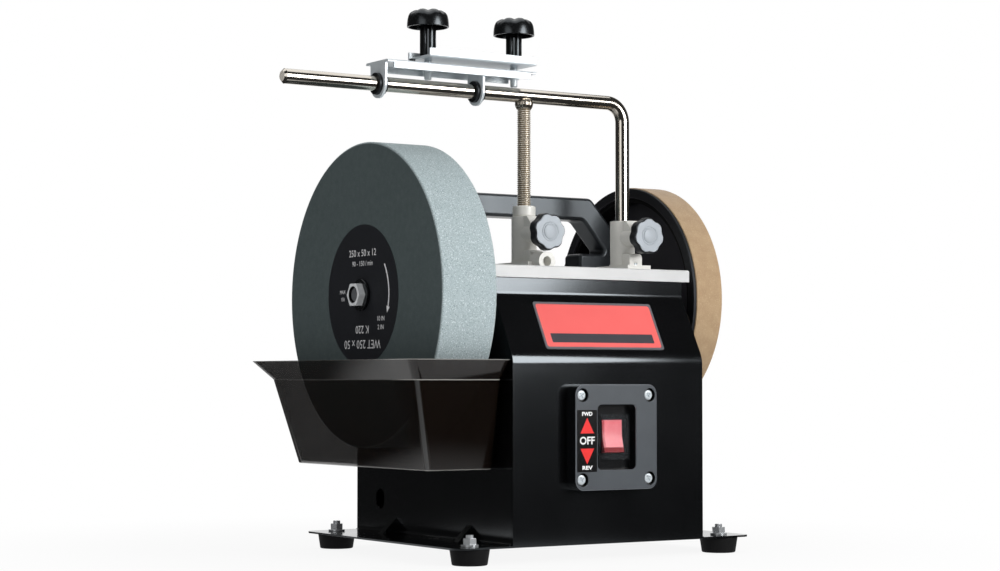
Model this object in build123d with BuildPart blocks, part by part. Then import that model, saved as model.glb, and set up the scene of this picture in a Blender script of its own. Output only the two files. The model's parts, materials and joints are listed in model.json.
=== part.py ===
from build123d import *
import os
from math import atan2, ceil, cos, pi, sin, tan

os.makedirs("parts", exist_ok=True)

# Wet sharpening machine: a slow grinding stone in a water trough on the left, a leather honing wheel on the
# right, and a sheet steel housing with the motor between them.
# X runs along the axle from the stone to the honing wheel, Y from front to back and Z up, in millimetres.
# The origin is on the bench under the middle of the machine.

# Clearances
RUNNING = 0.05
SLIP = 0.1
SEAM = 0.2
FREE = 0.3

# Grinding stone
STONE_DIAMETER = 250.0
STONE_WIDTH = 50.0
STONE_EDGE = 1.0
LABEL_DIAMETER = 115.0
LABEL_THICKNESS = 0.3

# Honing wheel, a drum that the motor drives by a rubber ring inside its rim
HONING_DIAMETER = 200.0
HONING_WIDTH = 30.0
LEATHER_THICKNESS = 4.0
DRUM_RIM = 5.0
DRUM_WEB = 5.0
DRUM_FLANGE_THICKNESS = 3.0
DRUM_FLANGE_SINK = 0.8
DRUM_HUB_DIAMETER = 24.0
DRUM_BOSS_DIAMETER = 52.0
DRUM_RECESS_DEPTH = 2.0
DRUM_RECESS_MARGIN = 14.0
FRICTION_RING_THICKNESS = 4.0
FRICTION_RING_WIDTH = 16.0
FRICTION_RING_INSET = 2.0

# Axle and what holds the wheels on it
AXLE_DIAMETER = 12.0
STONE_GAP = 12.5
HONING_GAP = 14.0
COLLAR_DIAMETER = 26.0
COLLAR_LENGTH = 3.0
STONE_NUT_LENGTH = 6.0
STONE_FLANGE_DIAMETER = 70.0
STONE_FLANGE_THICKNESS = 4.0
STONE_HUB_DIAMETER = 24.0
AXLE_NUT_FLATS = 18.0
AXLE_NUT_LENGTH = 8.0
AXLE_NUT_RECESS = 1.5
AXLE_WASHER_DIAMETER = 30.0
AXLE_WASHER_THICKNESS = 3.0
AXLE_STICKOUT = 2.0
AXLE_HOLE_GAP = 1.5
BEARING_WIDTH = 44.0
BEARING_THICKNESS = 14.0
BEARING_ABOVE_AXLE = 10.0
BEARING_BELOW_AXLE = 24.0
BEARING_SCREW_SPACING = 32.0
BEARING_SCREW_DROP = 10.0

# Housing of folded sheet
HOUSING_WIDTH = 188.0
HOUSING_FRONT = 128.0
HOUSING_REAR = 119.0
AXLE_ABOVE_BASE = 200.5
BEND_BELOW_AXLE = 51.5
STRIP_BELOW_AXLE = 0.5
SLOPE_DEPTH = 27.5
PLATE_ABOVE_AXLE = 12.5
SHEET = 1.5
BEND_RADIUS = 3.0
LOW_BEND_RADIUS = 20.0
HIGH_BEND_RADIUS = 8.0
FLANGE_WIDTH = 52.0
FLANGE_CORNER = 10.0
RETURN_WIDTH = 14.0
GUSSET_SIZE = 13.0
GUSSET_WIDTH = 8.0
GUSSET_SPACING = 120.0
OVAL_HOLE_WIDTH = 14.0
OVAL_HOLE_HEIGHT = 17.0
OVAL_HOLE_BEHIND_AXLE = 79.0
OVAL_HOLE_ABOVE_BASE = 29.5
AIR_SLOT_LENGTH = 46.0
AIR_SLOT_WIDTH = 5.0
AIR_SLOT_PITCH = 14.0
AIR_SLOT_ROWS = 6
AIR_SLOT_COLUMNS = 2
AIR_SLOTS_BELOW_AXLE = 70.0
GLAND_DIAMETER = 22.0
GLAND_THREAD_DIAMETER = 16.0
GLAND_BORE = 8.0
GLAND_LENGTH = 12.0
GLAND_INSIDE = 10.0
GLAND_ABOVE_BASE = 30.0
GLAND_FROM_RIGHT = 35.0

# Badge plate on the slope
BADGE_WIDTH = 117.0
BADGE_HEIGHT = 43.0
BADGE_THICKNESS = 0.8
BADGE_CORNER = 2.0
BADGE_SHIFT = 1.5

# Sheet metal screws of the rear panel and the bearings
PANEL_SCREW_DIAMETER = 4.0
PANEL_SCREW_LENGTH = 9.0
PANEL_SCREW_HEAD_DIAMETER = 7.5
PANEL_SCREW_HEAD_HEIGHT = 2.5
REAR_SCREW_MARGIN = 20.0
REAR_SCREW_COUNT = 3

# Top plate and its screws
PLATE_THICKNESS = 10.0
PLATE_OVERHANG = 4.5
PLATE_BEVEL = 0.8
TOP_SCREW_DIAMETER = 5.0
TOP_SCREW_LENGTH = 16.0
TOP_SCREW_HEAD_DIAMETER = 10.0
TOP_SCREW_MARGIN = 14.0
PLATE_SCREW_DIAMETER = 5.0
PLATE_SCREW_HEAD_DIAMETER = 8.5
PLATE_SCREW_HEAD_HEIGHT = 5.0
PLATE_SCREW_GRIP = 7.0

# Feet
FOOT_HEIGHT = 13.0
FOOT_TOP_DIAMETER = 28.0
FOOT_BOTTOM_DIAMETER = 24.5
FOOT_FROM_PANEL = 29.5
FOOT_SPACING = 214.0
FOOT_RECESS_DIAMETER = 14.0
FOOT_RECESS_DEPTH = 6.0
FOOT_SCREW_DIAMETER = 6.0
FOOT_SCREW_HEAD_DIAMETER = 11.0
FOOT_SCREW_HEAD_HEIGHT = 4.0
FOOT_SCREW_STICKOUT = 2.5
FOOT_NUT_FLATS = 10.0
FOOT_NUT_HEIGHT = 5.0
FOOT_WASHER_DIAMETER = 14.0
FOOT_WASHER_THICKNESS = 1.5

# Support bar, its threaded leg and its height nut
BAR_DIAMETER = 12.0
BAR_REACH = 126.0
BAR_SETBACK = 50.0
BAR_ABOVE_STONE = 41.5
BAR_BEND = 16.0
BAR_CHAMFER = 2.2
LEG_SPACING = 101.0
RIGHT_LEG_INSET = 24.5
LEG_BELOW_PLATE = 22.0
THREAD_DIAMETER = 11.6
THREAD_PITCH = 1.75
THREAD_DEPTH = 0.9
WELD_DIAMETER = 16.0
WELD_LENGTH = 7.0
HEIGHT_NUT_DIAMETER = 19.0
HEIGHT_NUT_HEIGHT = 8.7
HEIGHT_NUT_ROUND = 1.2

# Cast sleeves that guide the legs, and their lock knobs
SLEEVE_DIAMETER = 21.0
SLEEVE_HEIGHT = 43.2
SLEEVE_BOSS_DIAMETER = 16.0
SLEEVE_BOSS_REACH = 21.0
SLEEVE_RIB_WIDTH = 12.0
SLEEVE_RIB_REACH = 13.0
SLEEVE_BASE_WIDTH = 24.0
SLEEVE_BASE_THICKNESS = 5.0
SLEEVE_BASE_REAR = 21.0
SLEEVE_BASE_FRONT = 24.0
SLEEVE_WEB_WIDTH = 13.0
SLEEVE_WEB_HEIGHT = 15.0
SLEEVE_WEB_REACH = 19.0
SLEEVE_WEB_ROUND = 4.0
SLEEVE_LUG_REACH = 34.0
SLEEVE_LUG_DIAMETER = 16.0
SLEEVE_LUG_LENGTH = 10.0
SLEEVE_LUG_RAISE = 5.0
SLEEVE_LUG_HOLE = 8.0
SLEEVE_SCREW_FRONT = 17.0
SLEEVE_SCREW_REAR = 15.0
KNOB_RAISE = 29.0
KNOB_DIAMETER = 31.0
KNOB_THICKNESS = 8.0
KNOB_LOBES = 7
KNOB_NOTCH_RADIUS = 4.5
KNOB_NOTCH_DEPTH = 1.9
KNOB_ROUND = 0.8
KNOB_BOSS_DIAMETER = 13.0
KNOB_BOSS_RAISE = 1.5
KNOB_HUB_DIAMETER = 14.0
KNOB_HUB_LENGTH = 9.0
KNOB_STUD_DIAMETER = 6.0

# Square edge jig on the bar
JIG_LEFT_OF_STONE = 40.0
JIG_LENGTH = 142.0
JIG_FRONT = 16.0
JIG_REAR = 19.0
JIG_SHEET = 2.0
JIG_RISE = 18.4
JIG_FLANGE = 6.6
JIG_FLANGE_RELIEF = 6.0
JIG_FOLD_ROUND = 1.5
EAR_FROM_RIGHT = 50.0
EAR_TOP_WIDTH = 24.0
EAR_RADIUS = 11.5
BUSH_WALL = 2.6
BUSH_LENGTH = 8.0
CLAMP_INSET = 39.2
CLAMP_GAP = 5.0
CLAMP_FLANGE = 7.0
CLAMP_SCREW_FROM_LEFT = 13.5
CLAMP_SCREW_FROM_RIGHT = 5.5
CLAMP_SCREW_SETBACK = 10.0
CLAMP_SCREW_DIAMETER = 6.0
CLAMP_SCREW_BELOW = 8.4
CLAMP_SCREW_GRIP = 24.0
CLAMP_COLLAR_DIAMETER = 9.0
CLAMP_COLLAR_LENGTH = 2.0
CLAMP_KNOB_DIAMETER = 34.4
CLAMP_KNOB_HEIGHT = 15.2
CLAMP_KNOB_RIM = 3.0
CLAMP_KNOB_CROWN = 22.0
CLAMP_KNOB_CURVE = 14.0
CLAMP_KNOB_WALL = 2.0
CLAMP_KNOB_HOLLOW = 6.0
CLAMP_KNOB_LOBES = 7
CLAMP_KNOB_NOTCH_RADIUS = 5.0
CLAMP_KNOB_NOTCH_DEPTH = 1.8
CLAMP_KNOB_LIP = 1.2
CLAMP_BUTTON_DIAMETER = 8.6
CLAMP_BUTTON_RISE = 1.2
CLAMP_STEM_DIAMETER = 13.2
CLAMP_STEM_LENGTH = 25.3
STOP_PIN_DIAMETER = 5.0
STOP_PIN_HEIGHT = 4.0
STOP_PIN_INSET = 32.0

# Water trough and its hanger
TROUGH_WALL = 2.0
TROUGH_CORNER = 6.5
TROUGH_FLOOR_CORNER = 4.0
TROUGH_FLOOR_ROUND = 1.8
TROUGH_LIP_BELOW_AXLE = 53.3
TROUGH_LIP_HEIGHT = 15.7
TROUGH_FLOOR_BELOW_STONE = 15.0
TROUGH_LIP_SIDE = 34.5
TROUGH_CREASE_SIDE = 21.5
TROUGH_FLOOR_SIDE = 3.0
TROUGH_LIP_END = 10.0
TROUGH_CREASE_END = -4.4
TROUGH_FLOOR_END = -18.4
TROUGH_PANEL_GAP = 4.5
TROUGH_HOOK_WIDTH = 3.7
HANGER_WIDTH = 110.0
HANGER_HEIGHT = 40.0
HANGER_THICKNESS = 3.5

# Carry handle
HANDLE_OVERHANG = 2.0
HANDLE_TOP = 66.5
HANDLE_DEPTH = 19.5
HANDLE_WIDTH = 24.0
HANDLE_SHOULDER_RUN = 24.5
HANDLE_SHOULDER_DROP = 27.6
HANDLE_BEHIND_AXLE = 10.0
HANDLE_CORNER = 8.0
HANDLE_EDGE = 3.0
HANDLE_FOOT_LENGTH = 37.5
HANDLE_FOOT_HEIGHT = 18.0
HANDLE_FOOT_ROUND = 4.0
HANDLE_NOTCH_ROUND = 3.0
HANDLE_SCREW_SPACING = 18.0

# Switch on the front panel
SWITCH_WIDTH = 80.0
SWITCH_HEIGHT = 84.0
SWITCH_DEPTH = 13.0
SWITCH_CORNER = 8.0
SWITCH_SHIFT = 2.8
SWITCH_BELOW_AXLE = 115.0
SWITCH_SCREW_SPACING_X = 66.0
SWITCH_SCREW_SPACING_Z = 67.0
SWITCH_SCREW_DIAMETER = 4.0
SWITCH_SCREW_HEAD_DIAMETER = 8.0
SWITCH_SCREW_HEAD_HEIGHT = 3.0
SWITCH_SCREW_SINK = 2.5
SWITCH_POCKET_DIAMETER = 11.0
SWITCH_SCREW_LENGTH = 16.0
RECESS_WIDTH = 38.0
RECESS_HEIGHT = 52.0
RECESS_DEPTH = 9.0
RECESS_CORNER = 4.0
SWITCH_LABEL_WIDTH = 19.0
SWITCH_LABEL_HEIGHT = 49.0
SWITCH_LABEL_MARGIN = 1.0
BEZEL_WIDTH = 27.0
BEZEL_HEIGHT = 36.0
BEZEL_THICKNESS = 1.5
SWITCH_BODY_WIDTH = 23.0
SWITCH_BODY_HEIGHT = 31.0
SWITCH_BODY_DEPTH = 26.0
SWITCH_BODY_WALL = 1.6
COVER_DEPTH = 6.0
COVER_WALL = 1.0
ROCKER_END_RISE = 2.2
ROCKER_DISH = 1.4
ROCKER_PIVOT_DEPTH = 3.0
ROCKER_BACK_DEPTH = 5.5
ROCKER_BACK_HEIGHT = 12.0
ROCKER_PIN_DIAMETER = 3.0
ROCKER_TRAVEL = 8.0

# Motor
MOTOR_DIAMETER = 100.0
MOTOR_LENGTH = 84.0
MOTOR_SHELL = 4.0
MOTOR_CAP_LENGTH = 12.0
MOTOR_AIR_GAP = 0.5
MOTOR_ANGLE = 15.0
ROTOR_DIAMETER = 56.0
STATOR_LENGTH = 60.0
MOTOR_SHAFT_DIAMETER = 10.0
MOTOR_SHAFT_STUB = 6.0
SPINDLE_DIAMETER = 14.0
SPINDLE_HOLE_GAP = 3.0
MOTOR_SCREW_CIRCLE = 76.0
MOTOR_SCREW_COUNT = 4
MOTOR_SCREW_DIAMETER = 5.0
MOTOR_SCREW_LENGTH = 12.0
MOTOR_SCREW_HEAD_DIAMETER = 8.5
MOTOR_SCREW_HEAD_HEIGHT = 3.5
BRACKET_THICKNESS = 3.0
BRACKET_STANDOFF = 6.0
BRACKET_WIDTH = 90.0
BRACKET_ABOVE_MOTOR = 44.0
BRACKET_FOOT = 60.0
CAPACITOR_DIAMETER = 35.0
CAPACITOR_HEIGHT = 62.0
CAPACITOR_FROM_FRONT = 45.0
CAPACITOR_FROM_LEFT = 45.0

# Heights
base_z = FOOT_HEIGHT
axle_z = base_z + AXLE_ABOVE_BASE
bend_z = axle_z - BEND_BELOW_AXLE
strip_z = axle_z - STRIP_BELOW_AXLE
plate_z = axle_z + PLATE_ABOVE_AXLE
plate_top = plate_z + PLATE_THICKNESS
bar_z = axle_z + STONE_DIAMETER / 2 + BAR_ABOVE_STONE

# Reach of the machine from the middle of the stone, which sets where the stone stands
housing_reach = STONE_WIDTH / 2 + STONE_GAP
drum_reach = housing_reach + HOUSING_WIDTH + HONING_GAP + HONING_WIDTH
axle_reach = drum_reach + AXLE_WASHER_THICKNESS + AXLE_NUT_LENGTH + AXLE_STICKOUT
flange_reach = housing_reach + HOUSING_WIDTH + FLANGE_WIDTH
left_reach = max(BAR_REACH, STONE_WIDTH / 2 + TROUGH_LIP_SIDE)
right_reach = max(axle_reach, flange_reach)
trough_reach = STONE_DIAMETER / 2 + TROUGH_LIP_END
front_reach = max(HOUSING_FRONT + SWITCH_DEPTH + LABEL_THICKNESS, trough_reach)
rear_reach = max(HOUSING_REAR + GLAND_LENGTH, trough_reach)

# Places along X
stone_x = (left_reach - right_reach) / 2
stone_left = stone_x - STONE_WIDTH / 2
stone_right = stone_x + STONE_WIDTH / 2
house_left = stone_right + STONE_GAP
house_right = house_left + HOUSING_WIDTH
house_mid = (house_left + house_right) / 2
inner_left = house_left + SHEET
inner_right = house_right - SHEET
drum_left = house_right + HONING_GAP
drum_right = drum_left + HONING_WIDTH
collar_left = stone_left - LABEL_THICKNESS - COLLAR_LENGTH
stone_nut_left = collar_left - STONE_NUT_LENGTH
axle_left = stone_nut_left + AXLE_NUT_RECESS
axle_right = stone_x + axle_reach
right_leg_x = house_right - RIGHT_LEG_INSET
left_leg_x = right_leg_x - LEG_SPACING
bar_left = stone_x - BAR_REACH
jig_left = stone_x - JIG_LEFT_OF_STONE
jig_right = jig_left + JIG_LENGTH
switch_x = house_mid - SWITCH_SHIFT

# Places along Y
axle_y = (front_reach - rear_reach) / 2
front_y = axle_y - HOUSING_FRONT
rear_y = axle_y + HOUSING_REAR
strip_y = front_y + SLOPE_DEPTH
inner_rear_y = rear_y - SHEET
bar_y = axle_y - BAR_SETBACK
handle_y = axle_y + HANDLE_BEHIND_AXLE
flange_mid_y = (front_y + rear_y) / 2

slope_angle = atan2(SLOPE_DEPTH, strip_z - bend_z)
axle_radius = AXLE_DIAMETER / 2
bar_radius = BAR_DIAMETER / 2
stone_radius = STONE_DIAMETER / 2

# A cylinder or box that stands on its place, and one that hangs from it
STANDING = (Align.CENTER, Align.CENTER, Align.MIN)
HANGING = (Align.CENTER, Align.CENTER, Align.MAX)


def axle_plane(x):
    """Plane across the axle that faces right, with Y across and Z up."""
    return Plane(origin=(x, axle_y, axle_z), x_dir=(0, 1, 0), z_dir=(1, 0, 0))


def front_plane(x, y, z):
    """Plane that faces the front, with X across and Z up."""
    return Plane(origin=(x, y, z), x_dir=(1, 0, 0), z_dir=(0, -1, 0))


def front_profile(inset):
    """Front outline of the housing from bottom to top, moved inwards by a distance."""
    drop = inset * tan(slope_angle / 2)
    return [
        (front_y + inset, base_z),
        (front_y + inset, bend_z - drop),
        (strip_y + inset, strip_z - drop),
        (strip_y + inset, plate_z),
    ]


def front_bends(inset):
    """Radius at each point of that outline: the low bend bulges out and the high bend is hollow."""
    return [0, LOW_BEND_RADIUS - inset, HIGH_BEND_RADIUS + inset, 0]


# Screw places that two or more pieces share
foot_xs = [house_left - FOOT_FROM_PANEL, house_right + FOOT_FROM_PANEL]
foot_ys = [flange_mid_y - FOOT_SPACING / 2, flange_mid_y + FOOT_SPACING / 2]
foot_places = [(x, y) for x in foot_xs for y in foot_ys]

rear_screw_xs = [inner_left + RETURN_WIDTH / 2, inner_right - RETURN_WIDTH / 2]
rear_screw_pitch = (plate_z - base_z - 2 * REAR_SCREW_MARGIN) / (REAR_SCREW_COUNT - 1)
rear_screw_zs = [base_z + REAR_SCREW_MARGIN + rear_screw_pitch * step for step in range(REAR_SCREW_COUNT)]
bearing_screw_places = [(side * BEARING_SCREW_SPACING / 2, -BEARING_SCREW_DROP) for side in (-1, 1)]

top_screw_xs = rear_screw_xs
top_screw_ys = [strip_y + SHEET + TOP_SCREW_MARGIN, inner_rear_y - TOP_SCREW_MARGIN]
top_screw_places = [(x, y) for x in top_screw_xs for y in top_screw_ys]

handle_left = house_left - HANDLE_OVERHANG
handle_right = house_right + HANDLE_OVERHANG
handle_foot_xs = [handle_left + HANDLE_FOOT_LENGTH / 2, handle_right - HANDLE_FOOT_LENGTH / 2]
handle_screw_reach = HANDLE_SCREW_SPACING / 2
handle_screw_places = [(x + side * handle_screw_reach, handle_y) for x in handle_foot_xs for side in (-1, 1)]
sleeve_screw_ys = [bar_y - SLEEVE_SCREW_FRONT, bar_y + SLEEVE_SCREW_REAR]
plate_screw_places = [(x, y) for x in (left_leg_x, right_leg_x) for y in sleeve_screw_ys]
plate_screw_places += handle_screw_places

# The motor hangs below the axle so that its spindle meets the inside of the friction ring
ring_radius = HONING_DIAMETER / 2 - LEATHER_THICKNESS - DRUM_RIM - FRICTION_RING_THICKNESS
motor_drop = ring_radius - SPINDLE_DIAMETER / 2 - FREE
motor_y = axle_y + motor_drop * sin(MOTOR_ANGLE * pi / 180)
motor_z = axle_z - motor_drop * cos(MOTOR_ANGLE * pi / 180)
bracket_right = inner_right - BRACKET_STANDOFF
motor_right = bracket_right - BRACKET_THICKNESS
motor_left = motor_right - MOTOR_LENGTH - 2 * MOTOR_CAP_LENGTH
spindle_right = drum_left + FRICTION_RING_INSET + FRICTION_RING_WIDTH


def motor_plane(x):
    """Plane across the motor shaft that faces right, with Y across and Z up."""
    return Plane(origin=(x, motor_y, motor_z), x_dir=(0, 1, 0), z_dir=(1, 0, 0))


# Side panels: sheet with an outward base flange, pressed gussets and inward returns at the rear and the top
def side_panel(outer_x, inward):
    flange_edge = 0 if inward > 0 else -1
    return_mid = outer_x + inward * (SHEET + RETURN_WIDTH) / 2
    return_width = RETURN_WIDTH + SHEET
    return_front = strip_y + SHEET + SEAM
    with BuildPart() as panel:
        with BuildSketch(Plane.YZ.offset(outer_x)):
            with BuildLine():
                FilletPolyline(
                    *front_profile(SHEET + SEAM),
                    (inner_rear_y, plate_z),
                    (inner_rear_y, base_z),
                    radius=[*front_bends(SHEET + SEAM), 0, 0],
                    close=True,
                )
            make_face()
        extrude(amount=inward * SHEET)
        with BuildSketch(Plane.XY.offset(base_z)) as flange:
            with Locations((outer_x - inward * FLANGE_WIDTH / 2, flange_mid_y)):
                Rectangle(FLANGE_WIDTH, rear_y - front_y)
            fillet(flange.vertices().group_by(Axis.X)[flange_edge], FLANGE_CORNER)
        extrude(amount=SHEET)
        fold = panel.edges().filter_by(Axis.Y).sort_by_distance((outer_x, flange_mid_y, base_z + SHEET))[0]
        fillet(fold, BEND_RADIUS)
        for side in (-1, 1):
            gusset_y = flange_mid_y + side * GUSSET_SPACING / 2
            with BuildSketch(Plane.XZ.offset(-gusset_y)):
                with BuildLine():
                    Polyline(
                        (outer_x, base_z + SHEET),
                        (outer_x - inward * GUSSET_SIZE, base_z + SHEET),
                        (outer_x, base_z + SHEET + GUSSET_SIZE),
                        close=True,
                    )
                make_face()
            extrude(amount=GUSSET_WIDTH / 2, both=True)
        with BuildSketch(Plane.XY.offset(base_z)):
            with Locations((return_mid, inner_rear_y - SHEET / 2)):
                Rectangle(return_width, SHEET)
        extrude(amount=plate_z - base_z)
        with BuildSketch(Plane.XY.offset(plate_z)):
            with Locations((return_mid, (return_front + inner_rear_y) / 2)):
                Rectangle(return_width, inner_rear_y - return_front)
        extrude(amount=-SHEET)
        with BuildSketch(axle_plane(outer_x)):
            Circle(axle_radius + AXLE_HOLE_GAP)
            with Locations(*bearing_screw_places):
                Circle(PANEL_SCREW_DIAMETER / 2 + SLIP)
        extrude(amount=inward * SHEET, mode=Mode.SUBTRACT)
        with BuildSketch(Plane.XY.offset(base_z)):
            with Locations(*foot_places):
                Circle(FOOT_SCREW_DIAMETER / 2 + SLIP)
        extrude(amount=SHEET, mode=Mode.SUBTRACT)
        with BuildSketch(Plane.XY.offset(plate_z)):
            with Locations(*top_screw_places):
                Circle(TOP_SCREW_DIAMETER / 2 + SLIP)
        extrude(amount=-SHEET, mode=Mode.SUBTRACT)
        with BuildSketch(front_plane(0, inner_rear_y, 0)):
            with Locations(*[(x, z) for x in rear_screw_xs for z in rear_screw_zs]):
                Circle(PANEL_SCREW_DIAMETER / 2 + SLIP)
        extrude(amount=SHEET, mode=Mode.SUBTRACT)
        if inward > 0:
            with BuildSketch(Plane.YZ.offset(outer_x)):
                with Locations((axle_y + OVAL_HOLE_BEHIND_AXLE, base_z + OVAL_HOLE_ABOVE_BASE)):
                    SlotOverall(OVAL_HOLE_HEIGHT, OVAL_HOLE_WIDTH, rotation=90)
            extrude(amount=inward * SHEET, mode=Mode.SUBTRACT)
        else:
            with BuildSketch(motor_plane(outer_x)):
                Circle(SPINDLE_DIAMETER / 2 + SPINDLE_HOLE_GAP)
            extrude(amount=inward * SHEET, mode=Mode.SUBTRACT)
    return panel


left_side_panel = side_panel(house_left, 1)
left_side_panel.part.label = "left_side_panel"
export_step(left_side_panel.part, "parts/left_side_panel.step")

right_side_panel = side_panel(house_right, -1)
right_side_panel.part.label = "right_side_panel"
export_step(right_side_panel.part, "parts/right_side_panel.step")

# Front panel: upright, then a slope that carries the badge, then a narrow upright strip under the plate
with BuildPart() as front_panel:
    with BuildSketch(Plane.YZ.offset(house_left)):
        with BuildLine():
            FilletPolyline(
                *front_profile(0),
                *reversed(front_profile(SHEET)),
                radius=[*front_bends(0), *reversed(front_bends(SHEET))],
                close=True,
            )
        make_face()
    extrude(amount=HOUSING_WIDTH)
    with BuildSketch(front_plane(switch_x, front_y, axle_z - SWITCH_BELOW_AXLE)):
        Rectangle(SWITCH_BODY_WIDTH + 2 * FREE, SWITCH_BODY_HEIGHT + 2 * FREE)
        with GridLocations(SWITCH_SCREW_SPACING_X, SWITCH_SCREW_SPACING_Z, 2, 2):
            Circle(SWITCH_SCREW_DIAMETER / 2 + SLIP)
    extrude(amount=-SHEET, mode=Mode.SUBTRACT)
front_panel.part.label = "front_panel"
export_step(front_panel.part, "parts/front_panel.step")

# Rear panel: flat sheet with air slots for the motor and a hole for the cable gland
gland_x = house_right - GLAND_FROM_RIGHT
gland_z = base_z + GLAND_ABOVE_BASE
with BuildPart() as rear_panel:
    with BuildSketch(front_plane(0, inner_rear_y, 0)):
        with Locations((house_mid, (base_z + plate_z) / 2)):
            Rectangle(HOUSING_WIDTH, plate_z - base_z)
        with Locations(*[(x, z) for x in rear_screw_xs for z in rear_screw_zs]):
            Circle(PANEL_SCREW_DIAMETER / 2 + SLIP, mode=Mode.SUBTRACT)
        with Locations((house_mid, axle_z - AIR_SLOTS_BELOW_AXLE)):
            column_pitch = AIR_SLOT_LENGTH + AIR_SLOT_PITCH
            with GridLocations(column_pitch, AIR_SLOT_PITCH, AIR_SLOT_COLUMNS, AIR_SLOT_ROWS):
                SlotOverall(AIR_SLOT_LENGTH, AIR_SLOT_WIDTH, mode=Mode.SUBTRACT)
        with Locations((gland_x, gland_z)):
            Circle(GLAND_THREAD_DIAMETER / 2 + SLIP, mode=Mode.SUBTRACT)
    extrude(amount=-SHEET)
rear_panel.part.label = "rear_panel"
export_step(rear_panel.part, "parts/rear_panel.step")

# Cable gland: flanged nylon bush in the rear panel
with BuildPart() as cable_gland:
    with Locations(front_plane(gland_x, rear_y, gland_z)):
        Cylinder(GLAND_DIAMETER / 2, GLAND_LENGTH, align=HANGING)
        Cylinder(GLAND_THREAD_DIAMETER / 2, SHEET + GLAND_INSIDE, align=STANDING)
        Cylinder(GLAND_BORE / 2, 2 * (GLAND_LENGTH + SHEET + GLAND_INSIDE), mode=Mode.SUBTRACT)
    chamfer(cable_gland.faces().sort_by(Axis.Y)[-1].edges().sort_by(SortBy.RADIUS)[-1], GLAND_LENGTH / 4)
cable_gland.part.label = "cable_gland"
export_step(cable_gland.part, "parts/cable_gland.step")

# Bottom plate between the panels, which carries the motor bracket and the capacitor
floor_front = front_y + SHEET
floor_rear = inner_rear_y - SHEET - SEAM
floor_top = base_z + SHEET
with BuildPart() as bottom_plate:
    with BuildSketch(Plane.XY.offset(base_z)):
        with Locations((house_mid, (floor_front + floor_rear) / 2)):
            Rectangle(inner_right - inner_left, floor_rear - floor_front)
    extrude(amount=SHEET)
bottom_plate.part.label = "bottom_plate"
export_step(bottom_plate.part, "parts/bottom_plate.step")

# Panel screws: six in the rear panel and two in each bearing, all alike
left_outside = Plane(origin=(house_left, axle_y, axle_z), x_dir=(0, 1, 0), z_dir=(-1, 0, 0))
right_outside = axle_plane(house_right)
rear_outside = Plane(origin=(0, rear_y, 0), x_dir=(-1, 0, 0), z_dir=(0, 1, 0))
panel_screw_places = [rear_outside * Location((-x, z, 0)) for x in rear_screw_xs for z in rear_screw_zs]
panel_screw_places += [right_outside * Location((*place, 0)) for place in bearing_screw_places]
panel_screw_places += [left_outside * Location((place[0], -place[1], 0)) for place in bearing_screw_places]
with BuildPart() as panel_screws:
    with Locations(*panel_screw_places):
        Cylinder(PANEL_SCREW_HEAD_DIAMETER / 2, PANEL_SCREW_HEAD_HEIGHT, align=STANDING)
        Cylinder(PANEL_SCREW_DIAMETER / 2, PANEL_SCREW_LENGTH, align=HANGING)
panel_screws.part.label = "panel_screws"
export_step(panel_screws.part, "parts/panel_screws.step")

# Badge plate: thin plate stuck on the slope
slope_mid = Vector(house_mid - BADGE_SHIFT, (front_y + strip_y) / 2, (bend_z + strip_z) / 2)
slope_plane = Plane(origin=slope_mid, x_dir=(1, 0, 0), z_dir=(0, -cos(slope_angle), sin(slope_angle)))
with BuildPart() as badge_plate:
    with BuildSketch(slope_plane):
        RectangleRounded(BADGE_WIDTH, BADGE_HEIGHT, BADGE_CORNER)
    extrude(amount=BADGE_THICKNESS)
badge_plate.part.label = "badge_plate"
export_step(badge_plate.part, "parts/badge_plate.step")

# Top plate: thick aluminium plate that covers the housing and carries the sleeves and the handle
plate_front = strip_y - PLATE_OVERHANG
plate_rear = rear_y + PLATE_OVERHANG
with BuildPart() as top_plate:
    with BuildSketch(Plane.XY.offset(plate_z)):
        with Locations((house_mid, (plate_front + plate_rear) / 2)):
            Rectangle(HOUSING_WIDTH + 2 * PLATE_OVERHANG, plate_rear - plate_front)
    extrude(amount=PLATE_THICKNESS)
    chamfer(top_plate.faces().sort_by(Axis.Z)[-1].edges(), PLATE_BEVEL)
    with BuildSketch(Plane.XY.offset(plate_z)):
        with Locations((left_leg_x, bar_y), (right_leg_x, bar_y)):
            Circle(bar_radius + SLIP)
        with Locations(*plate_screw_places):
            Circle(PLATE_SCREW_DIAMETER / 2 + SLIP)
    extrude(amount=PLATE_THICKNESS, mode=Mode.SUBTRACT)
    with BuildSketch(Plane.XY.offset(plate_z)):
        with Locations(*plate_screw_places):
            Circle(PLATE_SCREW_HEAD_DIAMETER / 2 + FREE)
    extrude(amount=PLATE_SCREW_HEAD_HEIGHT, mode=Mode.SUBTRACT)
    with Locations(*[(x, y, plate_top) for x, y in top_screw_places]):
        CounterSinkHole(TOP_SCREW_DIAMETER / 2 + SLIP, TOP_SCREW_HEAD_DIAMETER / 2 + SLIP, PLATE_THICKNESS)
top_plate.part.label = "top_plate"
export_step(top_plate.part, "parts/top_plate.step")

# Top plate screws: countersunk, into the top returns of the side panels
with BuildPart() as top_plate_screws:
    with Locations(*[(x, y, plate_top) for x, y in top_screw_places]):
        Cone(
            TOP_SCREW_DIAMETER / 2,
            TOP_SCREW_HEAD_DIAMETER / 2,
            (TOP_SCREW_HEAD_DIAMETER - TOP_SCREW_DIAMETER) / 2,
            align=HANGING,
        )
        Cylinder(TOP_SCREW_DIAMETER / 2, TOP_SCREW_LENGTH, align=HANGING)
top_plate_screws.part.label = "top_plate_screws"
export_step(top_plate_screws.part, "parts/top_plate_screws.step")

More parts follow.
